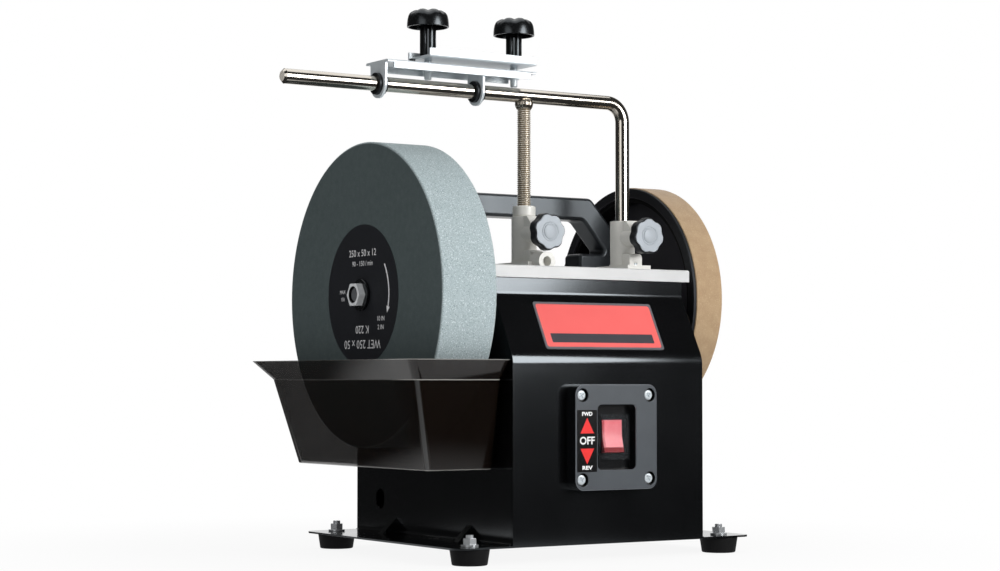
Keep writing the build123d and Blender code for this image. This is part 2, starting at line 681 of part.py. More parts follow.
# Plate screws: cap screws sunk in the underside of the plate that hold the two sleeves and the handle
with BuildPart() as plate_screws:
    with Locations(*[(x, y, plate_z) for x, y in plate_screw_places]):
        Cylinder(PLATE_SCREW_HEAD_DIAMETER / 2, PLATE_SCREW_HEAD_HEIGHT, align=STANDING)
        Cylinder(PLATE_SCREW_DIAMETER / 2, PLATE_THICKNESS + PLATE_SCREW_GRIP, align=STANDING)
plate_screws.part.label = "plate_screws"
export_step(plate_screws.part, "parts/plate_screws.step")

# Feet: tapered rubber, each with a recess below for its screw head
foot_names = ["foot_front_left", "foot_rear_left", "foot_front_right", "foot_rear_right"]
for foot_name, (foot_x, foot_y) in zip(foot_names, foot_places):
    with BuildPart() as foot:
        with Locations((foot_x, foot_y, 0)):
            Cone(FOOT_BOTTOM_DIAMETER / 2, FOOT_TOP_DIAMETER / 2, FOOT_HEIGHT, align=STANDING)
            Cylinder(FOOT_RECESS_DIAMETER / 2, FOOT_RECESS_DEPTH, align=STANDING, mode=Mode.SUBTRACT)
            Cylinder(FOOT_SCREW_DIAMETER / 2 + SLIP, FOOT_HEIGHT, align=STANDING, mode=Mode.SUBTRACT)
    foot.part.label = foot_name
    export_step(foot.part, f"parts/{foot_name}.step")

# Foot screws and their washer nuts on the flange
foot_nut_z = base_z + SHEET
foot_nut_stack = FOOT_WASHER_THICKNESS + FOOT_NUT_HEIGHT
with BuildPart() as foot_screws:
    with Locations(*[(x, y, FOOT_RECESS_DEPTH) for x, y in foot_places]):
        Cylinder(FOOT_SCREW_HEAD_DIAMETER / 2, FOOT_SCREW_HEAD_HEIGHT, align=HANGING)
        Cylinder(
            FOOT_SCREW_DIAMETER / 2,
            foot_nut_z + foot_nut_stack + FOOT_SCREW_STICKOUT - FOOT_RECESS_DEPTH,
            align=STANDING,
        )
foot_screws.part.label = "foot_screws"
export_step(foot_screws.part, "parts/foot_screws.step")

with BuildPart() as foot_nuts:
    with BuildSketch(Plane.XY.offset(foot_nut_z)):
        with Locations(*foot_places):
            Circle(FOOT_WASHER_DIAMETER / 2)
    extrude(amount=FOOT_WASHER_THICKNESS)
    with BuildSketch(Plane.XY.offset(foot_nut_z + FOOT_WASHER_THICKNESS)):
        with Locations(*foot_places):
            RegularPolygon(FOOT_NUT_FLATS / 2, 6, major_radius=False)
    extrude(amount=FOOT_NUT_HEIGHT)
    with BuildSketch(Plane.XY.offset(foot_nut_z)):
        with Locations(*foot_places):
            Circle(FOOT_SCREW_DIAMETER / 2 + SLIP)
    extrude(amount=foot_nut_stack, mode=Mode.SUBTRACT)
foot_nuts.part.label = "foot_nuts"
export_step(foot_nuts.part, "parts/foot_nuts.step")

# Axle bearings: plain blocks inside the side panels
with BuildPart() as axle_bearings:
    for face_x, inward in ((inner_left, 1), (inner_right, -1)):
        with BuildSketch(axle_plane(face_x)):
            with Locations((0, (BEARING_ABOVE_AXLE - BEARING_BELOW_AXLE) / 2)):
                Rectangle(BEARING_WIDTH, BEARING_ABOVE_AXLE + BEARING_BELOW_AXLE)
            Circle(axle_radius + RUNNING, mode=Mode.SUBTRACT)
            with Locations(*bearing_screw_places):
                Circle(PANEL_SCREW_DIAMETER / 2 + SLIP, mode=Mode.SUBTRACT)
        extrude(amount=inward * BEARING_THICKNESS)
axle_bearings.part.label = "axle_bearings"
export_step(axle_bearings.part, "parts/axle_bearings.step")

# Axle: one steel shaft from the stone nut to the honing nut
with BuildPart() as main_axle:
    with BuildSketch(axle_plane(axle_left)):
        Circle(axle_radius)
    extrude(amount=axle_right - axle_left)
    chamfer(main_axle.edges().filter_by(GeomType.CIRCLE), axle_radius / 6)
main_axle.part.label = "main_axle"
export_step(main_axle.part, "parts/main_axle.step")

# Grinding stone with its paper label
with BuildPart() as grinding_stone:
    with BuildSketch(axle_plane(stone_left)):
        Circle(stone_radius)
    extrude(amount=STONE_WIDTH)
    chamfer(grinding_stone.edges().filter_by(GeomType.CIRCLE), STONE_EDGE)
    with BuildSketch(axle_plane(stone_left)):
        Circle(axle_radius + RUNNING)
    extrude(amount=STONE_WIDTH, mode=Mode.SUBTRACT)
grinding_stone.part.label = "grinding_stone"
export_step(grinding_stone.part, "parts/grinding_stone.step")

with BuildPart() as stone_label:
    with BuildSketch(axle_plane(stone_left)):
        Circle(LABEL_DIAMETER / 2)
        Circle(axle_radius + RUNNING, mode=Mode.SUBTRACT)
    extrude(amount=-LABEL_THICKNESS)
stone_label.part.label = "stone_label"
export_step(stone_label.part, "parts/stone_label.step")

# Outer collar and lock nut of the stone
with BuildPart() as stone_collar:
    with BuildSketch(axle_plane(collar_left)):
        Circle(COLLAR_DIAMETER / 2)
        Circle(axle_radius + RUNNING, mode=Mode.SUBTRACT)
    extrude(amount=COLLAR_LENGTH)
stone_collar.part.label = "stone_collar"
export_step(stone_collar.part, "parts/stone_collar.step")

with BuildPart() as stone_nut:
    with BuildSketch(axle_plane(stone_nut_left)):
        RegularPolygon(AXLE_NUT_FLATS / 2, 6, major_radius=False)
        Circle(axle_radius + RUNNING, mode=Mode.SUBTRACT)
    extrude(amount=STONE_NUT_LENGTH)
stone_nut.part.label = "stone_nut"
export_step(stone_nut.part, "parts/stone_nut.step")

# Inner flange of the stone, with a hub that keeps it off the housing
with BuildPart() as stone_flange:
    with BuildSketch(axle_plane(stone_right)):
        Circle(STONE_FLANGE_DIAMETER / 2)
    extrude(amount=STONE_FLANGE_THICKNESS)
    with BuildSketch(axle_plane(stone_right)):
        Circle(STONE_HUB_DIAMETER / 2)
    extrude(amount=STONE_GAP - FREE)
    with BuildSketch(axle_plane(stone_right)):
        Circle(axle_radius + RUNNING)
    extrude(amount=STONE_GAP, mode=Mode.SUBTRACT)
stone_flange.part.label = "stone_flange"
export_step(stone_flange.part, "parts/stone_flange.step")

# Honing drum: hub, web on its outer side and rim, open towards the housing, with a flange beside the leather
drum_radius = HONING_DIAMETER / 2 - LEATHER_THICKNESS
rim_radius = drum_radius - DRUM_RIM
leather_left = drum_left + DRUM_FLANGE_THICKNESS
with BuildPart() as honing_drum:
    with BuildSketch(axle_plane(drum_left)):
        Circle(drum_radius - SLIP)
    extrude(amount=HONING_WIDTH)
    with BuildSketch(axle_plane(drum_left)):
        Circle(HONING_DIAMETER / 2 - DRUM_FLANGE_SINK)
    extrude(amount=DRUM_FLANGE_THICKNESS)
    with BuildSketch(axle_plane(drum_left)):
        Circle(rim_radius)
    extrude(amount=HONING_WIDTH - DRUM_WEB, mode=Mode.SUBTRACT)
    with BuildSketch(axle_plane(house_right + FREE)):
        Circle(DRUM_HUB_DIAMETER / 2)
    extrude(amount=drum_right - house_right - FREE)
    with BuildSketch(axle_plane(drum_right)):
        Circle(drum_radius - DRUM_RECESS_MARGIN)
        Circle(DRUM_BOSS_DIAMETER / 2, mode=Mode.SUBTRACT)
    extrude(amount=-DRUM_RECESS_DEPTH, mode=Mode.SUBTRACT)
    with BuildSketch(axle_plane(house_right)):
        Circle(axle_radius + RUNNING)
    extrude(amount=drum_right - house_right, mode=Mode.SUBTRACT)
honing_drum.part.label = "honing_drum"
export_step(honing_drum.part, "parts/honing_drum.step")

with BuildPart() as leather_band:
    with BuildSketch(axle_plane(leather_left)):
        Circle(HONING_DIAMETER / 2)
        Circle(drum_radius, mode=Mode.SUBTRACT)
    extrude(amount=drum_right - leather_left)
leather_band.part.label = "leather_band"
export_step(leather_band.part, "parts/leather_band.step")

with BuildPart() as friction_ring:
    with BuildSketch(axle_plane(drum_left + FRICTION_RING_INSET)):
        Circle(rim_radius - SLIP)
        Circle(ring_radius, mode=Mode.SUBTRACT)
    extrude(amount=FRICTION_RING_WIDTH)
friction_ring.part.label = "friction_ring"
export_step(friction_ring.part, "parts/friction_ring.step")

# Honing nut with its washer face
with BuildPart() as honing_nut:
    with BuildSketch(axle_plane(drum_right)):
        Circle(AXLE_WASHER_DIAMETER / 2)
    extrude(amount=AXLE_WASHER_THICKNESS)
    with BuildSketch(axle_plane(drum_right + AXLE_WASHER_THICKNESS)):
        RegularPolygon(AXLE_NUT_FLATS / 2, 6, major_radius=False)
    extrude(amount=AXLE_NUT_LENGTH)
    with BuildSketch(axle_plane(drum_right)):
        Circle(axle_radius + RUNNING)
    extrude(amount=AXLE_WASHER_THICKNESS + AXLE_NUT_LENGTH, mode=Mode.SUBTRACT)
honing_nut.part.label = "honing_nut"
export_step(honing_nut.part, "parts/honing_nut.step")

# Motor shell, end caps, stator, rotor and shaft
shell_left = motor_left + MOTOR_CAP_LENGTH
shell_bore = MOTOR_DIAMETER / 2 - MOTOR_SHELL
stator_left = shell_left + (MOTOR_LENGTH - STATOR_LENGTH) / 2
with BuildPart() as motor_shell:
    with BuildSketch(motor_plane(shell_left)):
        Circle(MOTOR_DIAMETER / 2)
        Circle(shell_bore, mode=Mode.SUBTRACT)
    extrude(amount=MOTOR_LENGTH)
motor_shell.part.label = "motor_shell"
export_step(motor_shell.part, "parts/motor_shell.step")

with BuildPart() as motor_stator:
    with BuildSketch(motor_plane(stator_left)):
        Circle(shell_bore - RUNNING)
        Circle(ROTOR_DIAMETER / 2 + MOTOR_AIR_GAP, mode=Mode.SUBTRACT)
    extrude(amount=STATOR_LENGTH)
motor_stator.part.label = "motor_stator"
export_step(motor_stator.part, "parts/motor_stator.step")

with BuildPart() as motor_rotor:
    with BuildSketch(motor_plane(stator_left)):
        Circle(ROTOR_DIAMETER / 2)
        Circle(MOTOR_SHAFT_DIAMETER / 2 + RUNNING, mode=Mode.SUBTRACT)
    extrude(amount=STATOR_LENGTH)
motor_rotor.part.label = "motor_rotor"
export_step(motor_rotor.part, "parts/motor_rotor.step")

motor_screw_radius = MOTOR_SCREW_CIRCLE / 2
with BuildPart() as motor_end_caps:
    with BuildSketch(motor_plane(motor_left)):
        Circle(MOTOR_DIAMETER / 2)
        Circle(MOTOR_SHAFT_DIAMETER / 2 + RUNNING, mode=Mode.SUBTRACT)
    extrude(amount=MOTOR_CAP_LENGTH)
    with BuildSketch(motor_plane(motor_right)):
        Circle(MOTOR_DIAMETER / 2)
        Circle(MOTOR_SHAFT_DIAMETER / 2 + RUNNING, mode=Mode.SUBTRACT)
        with PolarLocations(motor_screw_radius, MOTOR_SCREW_COUNT, start_angle=45):
            Circle(MOTOR_SCREW_DIAMETER / 2 + SLIP, mode=Mode.SUBTRACT)
    extrude(amount=-MOTOR_CAP_LENGTH)
motor_end_caps.part.label = "motor_end_caps"
export_step(motor_end_caps.part, "parts/motor_end_caps.step")

with BuildPart() as motor_shaft:
    with BuildSketch(motor_plane(motor_left - MOTOR_SHAFT_STUB)):
        Circle(MOTOR_SHAFT_DIAMETER / 2)
    extrude(amount=spindle_right - motor_left + MOTOR_SHAFT_STUB)
    with BuildSketch(motor_plane(bracket_right)):
        Circle(SPINDLE_DIAMETER / 2)
    extrude(amount=spindle_right - bracket_right)
motor_shaft.part.label = "motor_shaft"
export_step(motor_shaft.part, "parts/motor_shaft.step")

# Motor bracket: folded steel plate on the floor, with the motor screwed to its left face
bracket_top = motor_z + BRACKET_ABOVE_MOTOR
with BuildPart() as motor_bracket:
    with BuildSketch(Plane.YZ.offset(motor_right)):
        with Locations((motor_y, (floor_top + bracket_top) / 2)):
            Rectangle(BRACKET_WIDTH, bracket_top - floor_top)
    extrude(amount=BRACKET_THICKNESS)
    with BuildSketch(Plane.XY.offset(floor_top)):
        with Locations((bracket_right - BRACKET_FOOT / 2, motor_y)):
            Rectangle(BRACKET_FOOT, BRACKET_WIDTH)
    extrude(amount=BRACKET_THICKNESS)
    with BuildSketch(motor_plane(motor_right)):
        Circle(SPINDLE_DIAMETER / 2 + SPINDLE_HOLE_GAP)
        with PolarLocations(motor_screw_radius, MOTOR_SCREW_COUNT, start_angle=45):
            Circle(MOTOR_SCREW_DIAMETER / 2 + SLIP)
    extrude(amount=BRACKET_THICKNESS, mode=Mode.SUBTRACT)
motor_bracket.part.label = "motor_bracket"
export_step(motor_bracket.part, "parts/motor_bracket.step")

with BuildPart() as motor_screws:
    with Locations(motor_plane(bracket_right)):
        with PolarLocations(motor_screw_radius, MOTOR_SCREW_COUNT, start_angle=45):
            Cylinder(MOTOR_SCREW_HEAD_DIAMETER / 2, MOTOR_SCREW_HEAD_HEIGHT, align=STANDING)
            Cylinder(MOTOR_SCREW_DIAMETER / 2, MOTOR_SCREW_LENGTH, align=HANGING)
motor_screws.part.label = "motor_screws"
export_step(motor_screws.part, "parts/motor_screws.step")

# Capacitor can, upright on the floor
with BuildPart() as capacitor:
    with Locations((inner_left + CAPACITOR_FROM_LEFT, front_y + CAPACITOR_FROM_FRONT, floor_top)):
        Cylinder(CAPACITOR_DIAMETER / 2, CAPACITOR_HEIGHT, align=STANDING)
    fillet(capacitor.edges().filter_by(GeomType.CIRCLE).sort_by(Axis.Z)[-1], CAPACITOR_DIAMETER / 12)
capacitor.part.label = "capacitor"
export_step(capacitor.part, "parts/capacitor.step")

# Support bar: round bar bent down into a plain leg at its right end
leg_bottom_z = plate_z - LEG_BELOW_PLATE
with BuildPart() as support_bar:
    with BuildLine() as bar_line:
        FilletPolyline(
            (bar_left, bar_y, bar_z),
            (right_leg_x, bar_y, bar_z),
            (right_leg_x, bar_y, leg_bottom_z),
            radius=BAR_BEND,
        )
    with BuildSketch(Plane(origin=(bar_left, bar_y, bar_z), x_dir=(0, 1, 0), z_dir=(1, 0, 0))):
        Circle(bar_radius)
    sweep(path=bar_line.wires()[0])
    chamfer(support_bar.faces().sort_by(Axis.X)[0].edges(), BAR_CHAMFER)
    chamfer(support_bar.faces().sort_by(Axis.Z)[0].edges(), BAR_CHAMFER)
support_bar.part.label = "support_bar"
export_step(support_bar.part, "parts/support_bar.step")

# Threaded leg: round thread grooves up to the weld, and a saddle where it is welded under the bar
thread_radius = THREAD_DIAMETER / 2
weld_z = bar_z - bar_radius - WELD_LENGTH
thread_turns = ceil((weld_z - leg_bottom_z) / THREAD_PITCH)
thread_step = (weld_z - leg_bottom_z) / thread_turns
thread_outline = [(0, leg_bottom_z)]
for turn in range(thread_turns):
    groove_z = leg_bottom_z + turn * thread_step
    thread_outline.append((thread_radius - THREAD_DEPTH, groove_z))
    thread_outline.append((thread_radius, groove_z + thread_step / 2))
thread_outline.append((thread_radius, weld_z))
thread_outline.append((WELD_DIAMETER / 2, weld_z + WELD_LENGTH))
thread_outline.append((WELD_DIAMETER / 2, bar_z - bar_radius / 2))
thread_outline.append((0, bar_z - bar_radius / 2))
with BuildPart() as threaded_leg:
    with BuildSketch(front_plane(left_leg_x, bar_y, 0)):
        with BuildLine():
            Polyline(*thread_outline, close=True)
        make_face()
    revolve(axis=Axis((left_leg_x, bar_y, 0), (0, 0, 1)))
    with Locations((left_leg_x, bar_y, bar_z)):
        Cylinder(bar_radius, 2 * WELD_DIAMETER, rotation=(0, 90, 0), mode=Mode.SUBTRACT)
threaded_leg.part.label = "threaded_leg"
export_step(threaded_leg.part, "parts/threaded_leg.step")

# Height nut: smooth round nut that rests on the left sleeve
sleeve_top = plate_top + SLEEVE_HEIGHT
height_nut_z = sleeve_top + SEAM
with BuildPart() as height_nut:
    with BuildSketch(Plane.XY.offset(height_nut_z)):
        with Locations((left_leg_x, bar_y)):
            Circle(HEIGHT_NUT_DIAMETER / 2)
    extrude(amount=HEIGHT_NUT_HEIGHT)
    fillet(height_nut.edges().filter_by(GeomType.CIRCLE), HEIGHT_NUT_ROUND)
    with BuildSketch(Plane.XY.offset(height_nut_z)):
        with Locations((left_leg_x, bar_y)):
            Circle(thread_radius + SLIP)
    extrude(amount=HEIGHT_NUT_HEIGHT, mode=Mode.SUBTRACT)
height_nut.part.label = "height_nut"
export_step(height_nut.part, "parts/height_nut.step")

# Sleeves: cast guides on the top plate, each with a ribbed boss for its lock knob
# The left one also has a front lug
knob_z = plate_top + KNOB_RAISE
lug_z = plate_top + SLEEVE_LUG_RAISE
base_front = bar_y - SLEEVE_BASE_FRONT
base_rear = bar_y + SLEEVE_BASE_REAR
web_front = bar_y - SLEEVE_WEB_REACH
boss_front = bar_y - SLEEVE_BOSS_REACH
lug_front = bar_y - SLEEVE_LUG_REACH
for sleeve_name, leg_x in (("left_sleeve", left_leg_x), ("right_sleeve", right_leg_x)):
    with BuildPart() as sleeve:
        with BuildSketch(Plane.XY.offset(plate_top)):
            with Locations((leg_x, bar_y)):
                Circle(SLEEVE_DIAMETER / 2)
        extrude(amount=SLEEVE_HEIGHT)
        with BuildSketch(front_plane(leg_x, bar_y, knob_z)):
            Circle(SLEEVE_BOSS_DIAMETER / 2)
        extrude(amount=SLEEVE_BOSS_REACH)
        with BuildSketch(Plane.YZ.offset(leg_x)):
            with BuildLine():
                Polyline(
                    (bar_y, sleeve_top),
                    (bar_y - SLEEVE_RIB_REACH, sleeve_top),
                    (boss_front, knob_z + SLEEVE_BOSS_DIAMETER / 3),
                    (boss_front, knob_z),
                    (bar_y, knob_z),
                    close=True,
                )
            make_face()
        extrude(amount=SLEEVE_RIB_WIDTH / 2, both=True)
        with BuildSketch(Plane.YZ.offset(leg_x)):
            with BuildLine():
                FilletPolyline(
                    (bar_y, plate_top),
                    (bar_y, plate_top + SLEEVE_WEB_HEIGHT),
                    (web_front, plate_top + SLEEVE_WEB_HEIGHT),
                    (web_front, plate_top),
                    radius=[0, 0, SLEEVE_WEB_ROUND, 0],
                    close=True,
                )
            make_face()
        extrude(amount=SLEEVE_WEB_WIDTH / 2, both=True)
        with BuildSketch(Plane.XY.offset(plate_top)):
            with Locations((leg_x, (base_front + base_rear) / 2)):
                Rectangle(SLEEVE_BASE_WIDTH, base_rear - base_front)
        extrude(amount=SLEEVE_BASE_THICKNESS)
        if sleeve_name == "left_sleeve":
            with BuildSketch(front_plane(leg_x, lug_front, lug_z)):
                Circle(SLEEVE_LUG_DIAMETER / 2)
            extrude(amount=-(SLEEVE_LUG_REACH - SLEEVE_WEB_REACH))
            with BuildSketch(front_plane(leg_x, lug_front, lug_z)):
                Circle(SLEEVE_LUG_HOLE / 2)
            extrude(amount=-SLEEVE_LUG_LENGTH, mode=Mode.SUBTRACT)
            split(bisect_by=Plane.XY.offset(plate_top), keep=Keep.TOP)
        with BuildSketch(Plane.XY.offset(plate_top)):
            with Locations((leg_x, bar_y)):
                Circle(bar_radius + SLIP)
        extrude(amount=SLEEVE_HEIGHT, mode=Mode.SUBTRACT)
        with BuildSketch(front_plane(leg_x, bar_y, knob_z)):
            Circle(KNOB_STUD_DIAMETER / 2 + SLIP)
        extrude(amount=SLEEVE_BOSS_REACH, mode=Mode.SUBTRACT)
        with BuildSketch(Plane.XY.offset(plate_top)):
            with Locations(*[(leg_x, y) for y in sleeve_screw_ys]):
                Circle(PLATE_SCREW_DIAMETER / 2 + SLIP)
        extrude(amount=PLATE_SCREW_GRIP + FREE, mode=Mode.SUBTRACT)
    sleeve.part.label = sleeve_name
    export_step(sleeve.part, f"parts/{sleeve_name}.step")

# Lock knobs: lobed heads with a raised middle, a hub and a stud that presses on the leg
knob_hub_y = boss_front - FREE
knob_back_y = knob_hub_y - KNOB_HUB_LENGTH
knob_face_y = knob_back_y - KNOB_THICKNESS
stud_tip_y = bar_y - bar_radius - FREE
knob_notch_circle = KNOB_DIAMETER / 2 + KNOB_NOTCH_RADIUS - KNOB_NOTCH_DEPTH
for knob_name, leg_x in (("left_lock_knob", left_leg_x), ("right_lock_knob", right_leg_x)):
    with BuildPart() as lock_knob:
        with BuildSketch(front_plane(leg_x, knob_face_y, knob_z)):
            Circle(KNOB_DIAMETER / 2)
            with PolarLocations(knob_notch_circle, KNOB_LOBES, start_angle=90):
                Circle(KNOB_NOTCH_RADIUS, mode=Mode.SUBTRACT)
        extrude(amount=-KNOB_THICKNESS)
        fillet(lock_knob.faces().sort_by(Axis.Y)[0].edges(), KNOB_ROUND)
        with BuildSketch(front_plane(leg_x, knob_face_y, knob_z)):
            Circle(KNOB_BOSS_DIAMETER / 2)
        extrude(amount=KNOB_BOSS_RAISE)
        with BuildSketch(front_plane(leg_x, knob_back_y, knob_z)):
            Circle(KNOB_HUB_DIAMETER / 2)
        extrude(amount=-KNOB_HUB_LENGTH)
        with BuildSketch(front_plane(leg_x, knob_back_y, knob_z)):
            Circle(KNOB_STUD_DIAMETER / 2)
        extrude(amount=knob_back_y - stud_tip_y)
    lock_knob.part.label = knob_name
    export_step(lock_knob.part, f"parts/{knob_name}.step")

# Jig base: folded plate with a flange down each long side and two ears that hang on the bushes
web_top = bar_z + JIG_RISE
web_bottom = web_top - JIG_SHEET
jig_front = bar_y - JIG_FRONT
jig_rear = bar_y + JIG_REAR
jig_mid_y = (jig_front + jig_rear) / 2
jig_width = jig_rear - jig_front
bush_radius = bar_radius + SLIP + BUSH_WALL
ear_xs = [jig_left, jig_right - EAR_FROM_RIGHT]
clamp_left = jig_left + CLAMP_INSET
clamp_screw_xs = [clamp_left + CLAMP_SCREW_FROM_LEFT, jig_right - CLAMP_SCREW_FROM_RIGHT]
clamp_screw_y = bar_y + CLAMP_SCREW_SETBACK
clamp_screw_places = [(x, clamp_screw_y) for x in clamp_screw_xs]
with BuildPart() as jig_base:
    with BuildSketch(Plane.XY.offset(web_bottom)):
        with Locations(((jig_left + jig_right) / 2, jig_mid_y)):
            Rectangle(JIG_LENGTH, jig_width)
    extrude(amount=JIG_SHEET)
    with BuildSketch(Plane.XY.offset(web_top)):
        for flange_y in (jig_front + JIG_SHEET / 2, jig_rear - JIG_SHEET / 2):
            with Locations(((jig_left + jig_right) / 2, flange_y)):
                Rectangle(JIG_LENGTH - 2 * JIG_FLANGE_RELIEF, JIG_SHEET)
    extrude(amount=-JIG_FLANGE)
    fillet(jig_base.edges().filter_by(Axis.X).group_by(Axis.Z)[-1], JIG_FOLD_ROUND)
    for ear_x in ear_xs:
        with BuildSketch(Plane.YZ.offset(ear_x)):
            with BuildLine():
                Polyline(
                    (bar_y - EAR_TOP_WIDTH / 2, web_bottom),
                    (bar_y + EAR_TOP_WIDTH / 2, web_bottom),
                    (bar_y + EAR_RADIUS, bar_z),
                    (bar_y - EAR_RADIUS, bar_z),
                    close=True,
                )
            make_face()
            with Locations((bar_y, bar_z)):
                Circle(EAR_RADIUS)
                Circle(bush_radius + SLIP, mode=Mode.SUBTRACT)
        extrude(amount=JIG_SHEET)
    with BuildSketch(Plane.XY.offset(web_bottom)):
        with Locations(*clamp_screw_places):
            Circle(CLAMP_COLLAR_DIAMETER / 2)
    extrude(amount=-CLAMP_COLLAR_LENGTH)
    with BuildSketch(Plane.XY.offset(web_top)):
        with Locations(*clamp_screw_places):
            Circle(CLAMP_SCREW_DIAMETER / 2 + SLIP)
    extrude(amount=-JIG_SHEET - CLAMP_COLLAR_LENGTH, mode=Mode.SUBTRACT)
jig_base.part.label = "jig_base"
export_step(jig_base.part, "parts/jig_base.step")

# Jig bushes: plastic rings that slide on the bar, one in each ear
with BuildPart() as jig_bushes:
    for ear_x in ear_xs:
        bush_left = ear_x + (JIG_SHEET - BUSH_LENGTH) / 2
        with BuildSketch(Plane(origin=(bush_left, bar_y, bar_z), x_dir=(0, 1, 0), z_dir=(1, 0, 0))):
            Circle(bush_radius)
            Circle(bar_radius + SLIP, mode=Mode.SUBTRACT)
        extrude(amount=BUSH_LENGTH)
jig_bushes.part.label = "jig_bushes"
export_step(jig_bushes.part, "parts/jig_bushes.step")

# Clamp bar: channel open upwards that the two screws press down on the tool
clamp_bottom = web_top + CLAMP_GAP
clamp_seat = clamp_bottom + JIG_SHEET
with BuildPart() as jig_clamp_bar:
    with BuildSketch(Plane.XY.offset(clamp_bottom)):
        with Locations(((clamp_left + jig_right) / 2, jig_mid_y)):
            Rectangle(jig_right - clamp_left, jig_width)
    extrude(amount=CLAMP_FLANGE)
    with BuildSketch(Plane.XY.offset(clamp_seat)):
        with Locations(((clamp_left + jig_right) / 2, jig_mid_y)):
            Rectangle(jig_right - clamp_left, jig_width - 2 * JIG_SHEET)
    extrude(amount=CLAMP_FLANGE - JIG_SHEET, mode=Mode.SUBTRACT)
    fillet(jig_clamp_bar.edges().filter_by(Axis.X).group_by(Axis.Z)[0], JIG_FOLD_ROUND)
    with BuildSketch(Plane.XY.offset(clamp_bottom)):
        with Locations(*clamp_screw_places):
            Circle(CLAMP_SCREW_DIAMETER / 2 + SLIP)
    extrude(amount=JIG_SHEET, mode=Mode.SUBTRACT)
jig_clamp_bar.part.label = "jig_clamp_bar"
export_step(jig_clamp_bar.part, "parts/jig_clamp_bar.step")

# Clamp knobs: hollow domes with flutes above a plain lip, a button on top and a stem, each with a steel screw
# through the clamp bar into the base
cap_z = clamp_seat + FREE + CLAMP_STEM_LENGTH
cap_radius = CLAMP_KNOB_DIAMETER / 2
cap_notch_circle = cap_radius + CLAMP_KNOB_NOTCH_RADIUS - CLAMP_KNOB_NOTCH_DEPTH
hollow_radius = cap_radius - CLAMP_KNOB_NOTCH_DEPTH - CLAMP_KNOB_WALL
knob_sides = ("left", "right")
for side_name, screw_x in zip(knob_sides, clamp_screw_xs):
    knob_axis = Axis((screw_x, clamp_screw_y, 0), (0, 0, 1))
    with BuildPart() as clamp_knob:
        with BuildSketch(front_plane(screw_x, clamp_screw_y, cap_z)):
            with BuildLine():
                rim = Polyline((0, 0), (cap_radius, 0), (cap_radius, CLAMP_KNOB_RIM))
                crown = RadiusArc(rim @ 1, (CLAMP_KNOB_CROWN / 2, CLAMP_KNOB_HEIGHT), -CLAMP_KNOB_CURVE)
                Polyline(crown @ 1, (0, CLAMP_KNOB_HEIGHT), rim @ 0)
            make_face()
        revolve(axis=knob_axis)
        with BuildSketch(Plane.XY.offset(cap_z + CLAMP_KNOB_LIP)):
            with Locations((screw_x, clamp_screw_y)):
                with PolarLocations(cap_notch_circle, CLAMP_KNOB_LOBES):
                    Circle(CLAMP_KNOB_NOTCH_RADIUS)
        extrude(amount=CLAMP_KNOB_HEIGHT, mode=Mode.SUBTRACT)
        with BuildSketch(Plane.XY.offset(cap_z + CLAMP_KNOB_HEIGHT)):
            with Locations((screw_x, clamp_screw_y)):
                Circle(CLAMP_BUTTON_DIAMETER / 2)
        extrude(amount=CLAMP_BUTTON_RISE)
        with BuildSketch(Plane.XY.offset(cap_z)):
            with Locations((screw_x, clamp_screw_y)):
                Circle(hollow_radius)
        extrude(amount=CLAMP_KNOB_HOLLOW, mode=Mode.SUBTRACT)
        with BuildSketch(Plane.XY.offset(clamp_seat + FREE)):
            with Locations((screw_x, clamp_screw_y)):
                Circle(CLAMP_STEM_DIAMETER / 2)
        extrude(amount=CLAMP_STEM_LENGTH + CLAMP_KNOB_HOLLOW)
        with BuildSketch(Plane.XY.offset(clamp_seat)):
            with Locations((screw_x, clamp_screw_y)):
                Circle(CLAMP_SCREW_DIAMETER / 2 + RUNNING)
        extrude(amount=CLAMP_SCREW_GRIP + RUNNING, mode=Mode.SUBTRACT)
    clamp_knob.part.label = f"jig_knob_{side_name}"
    export_step(clamp_knob.part, f"parts/jig_knob_{side_name}.step")

    with BuildPart() as clamp_screw:
        with BuildSketch(Plane.XY.offset(web_bottom - CLAMP_SCREW_BELOW)):
            with Locations((screw_x, clamp_screw_y)):
                Circle(CLAMP_SCREW_DIAMETER / 2)
        extrude(amount=clamp_seat + CLAMP_SCREW_GRIP - web_bottom + CLAMP_SCREW_BELOW)
        chamfer(clamp_screw.edges().filter_by(GeomType.CIRCLE).sort_by(Axis.Z)[0], CLAMP_SCREW_DIAMETER / 8)
    clamp_screw.part.label = f"jig_screw_{side_name}"
    export_step(clamp_screw.part, f"parts/jig_screw_{side_name}.step")

# Stop pin on the jig base, beside the clamp bar
with BuildPart() as jig_stop_pin:
    with Locations((jig_left + STOP_PIN_INSET, bar_y, web_top)):
        Cylinder(STOP_PIN_DIAMETER / 2, STOP_PIN_HEIGHT, align=STANDING)
jig_stop_pin.part.label = "jig_stop_pin"
export_step(jig_stop_pin.part, "parts/jig_stop_pin.step")

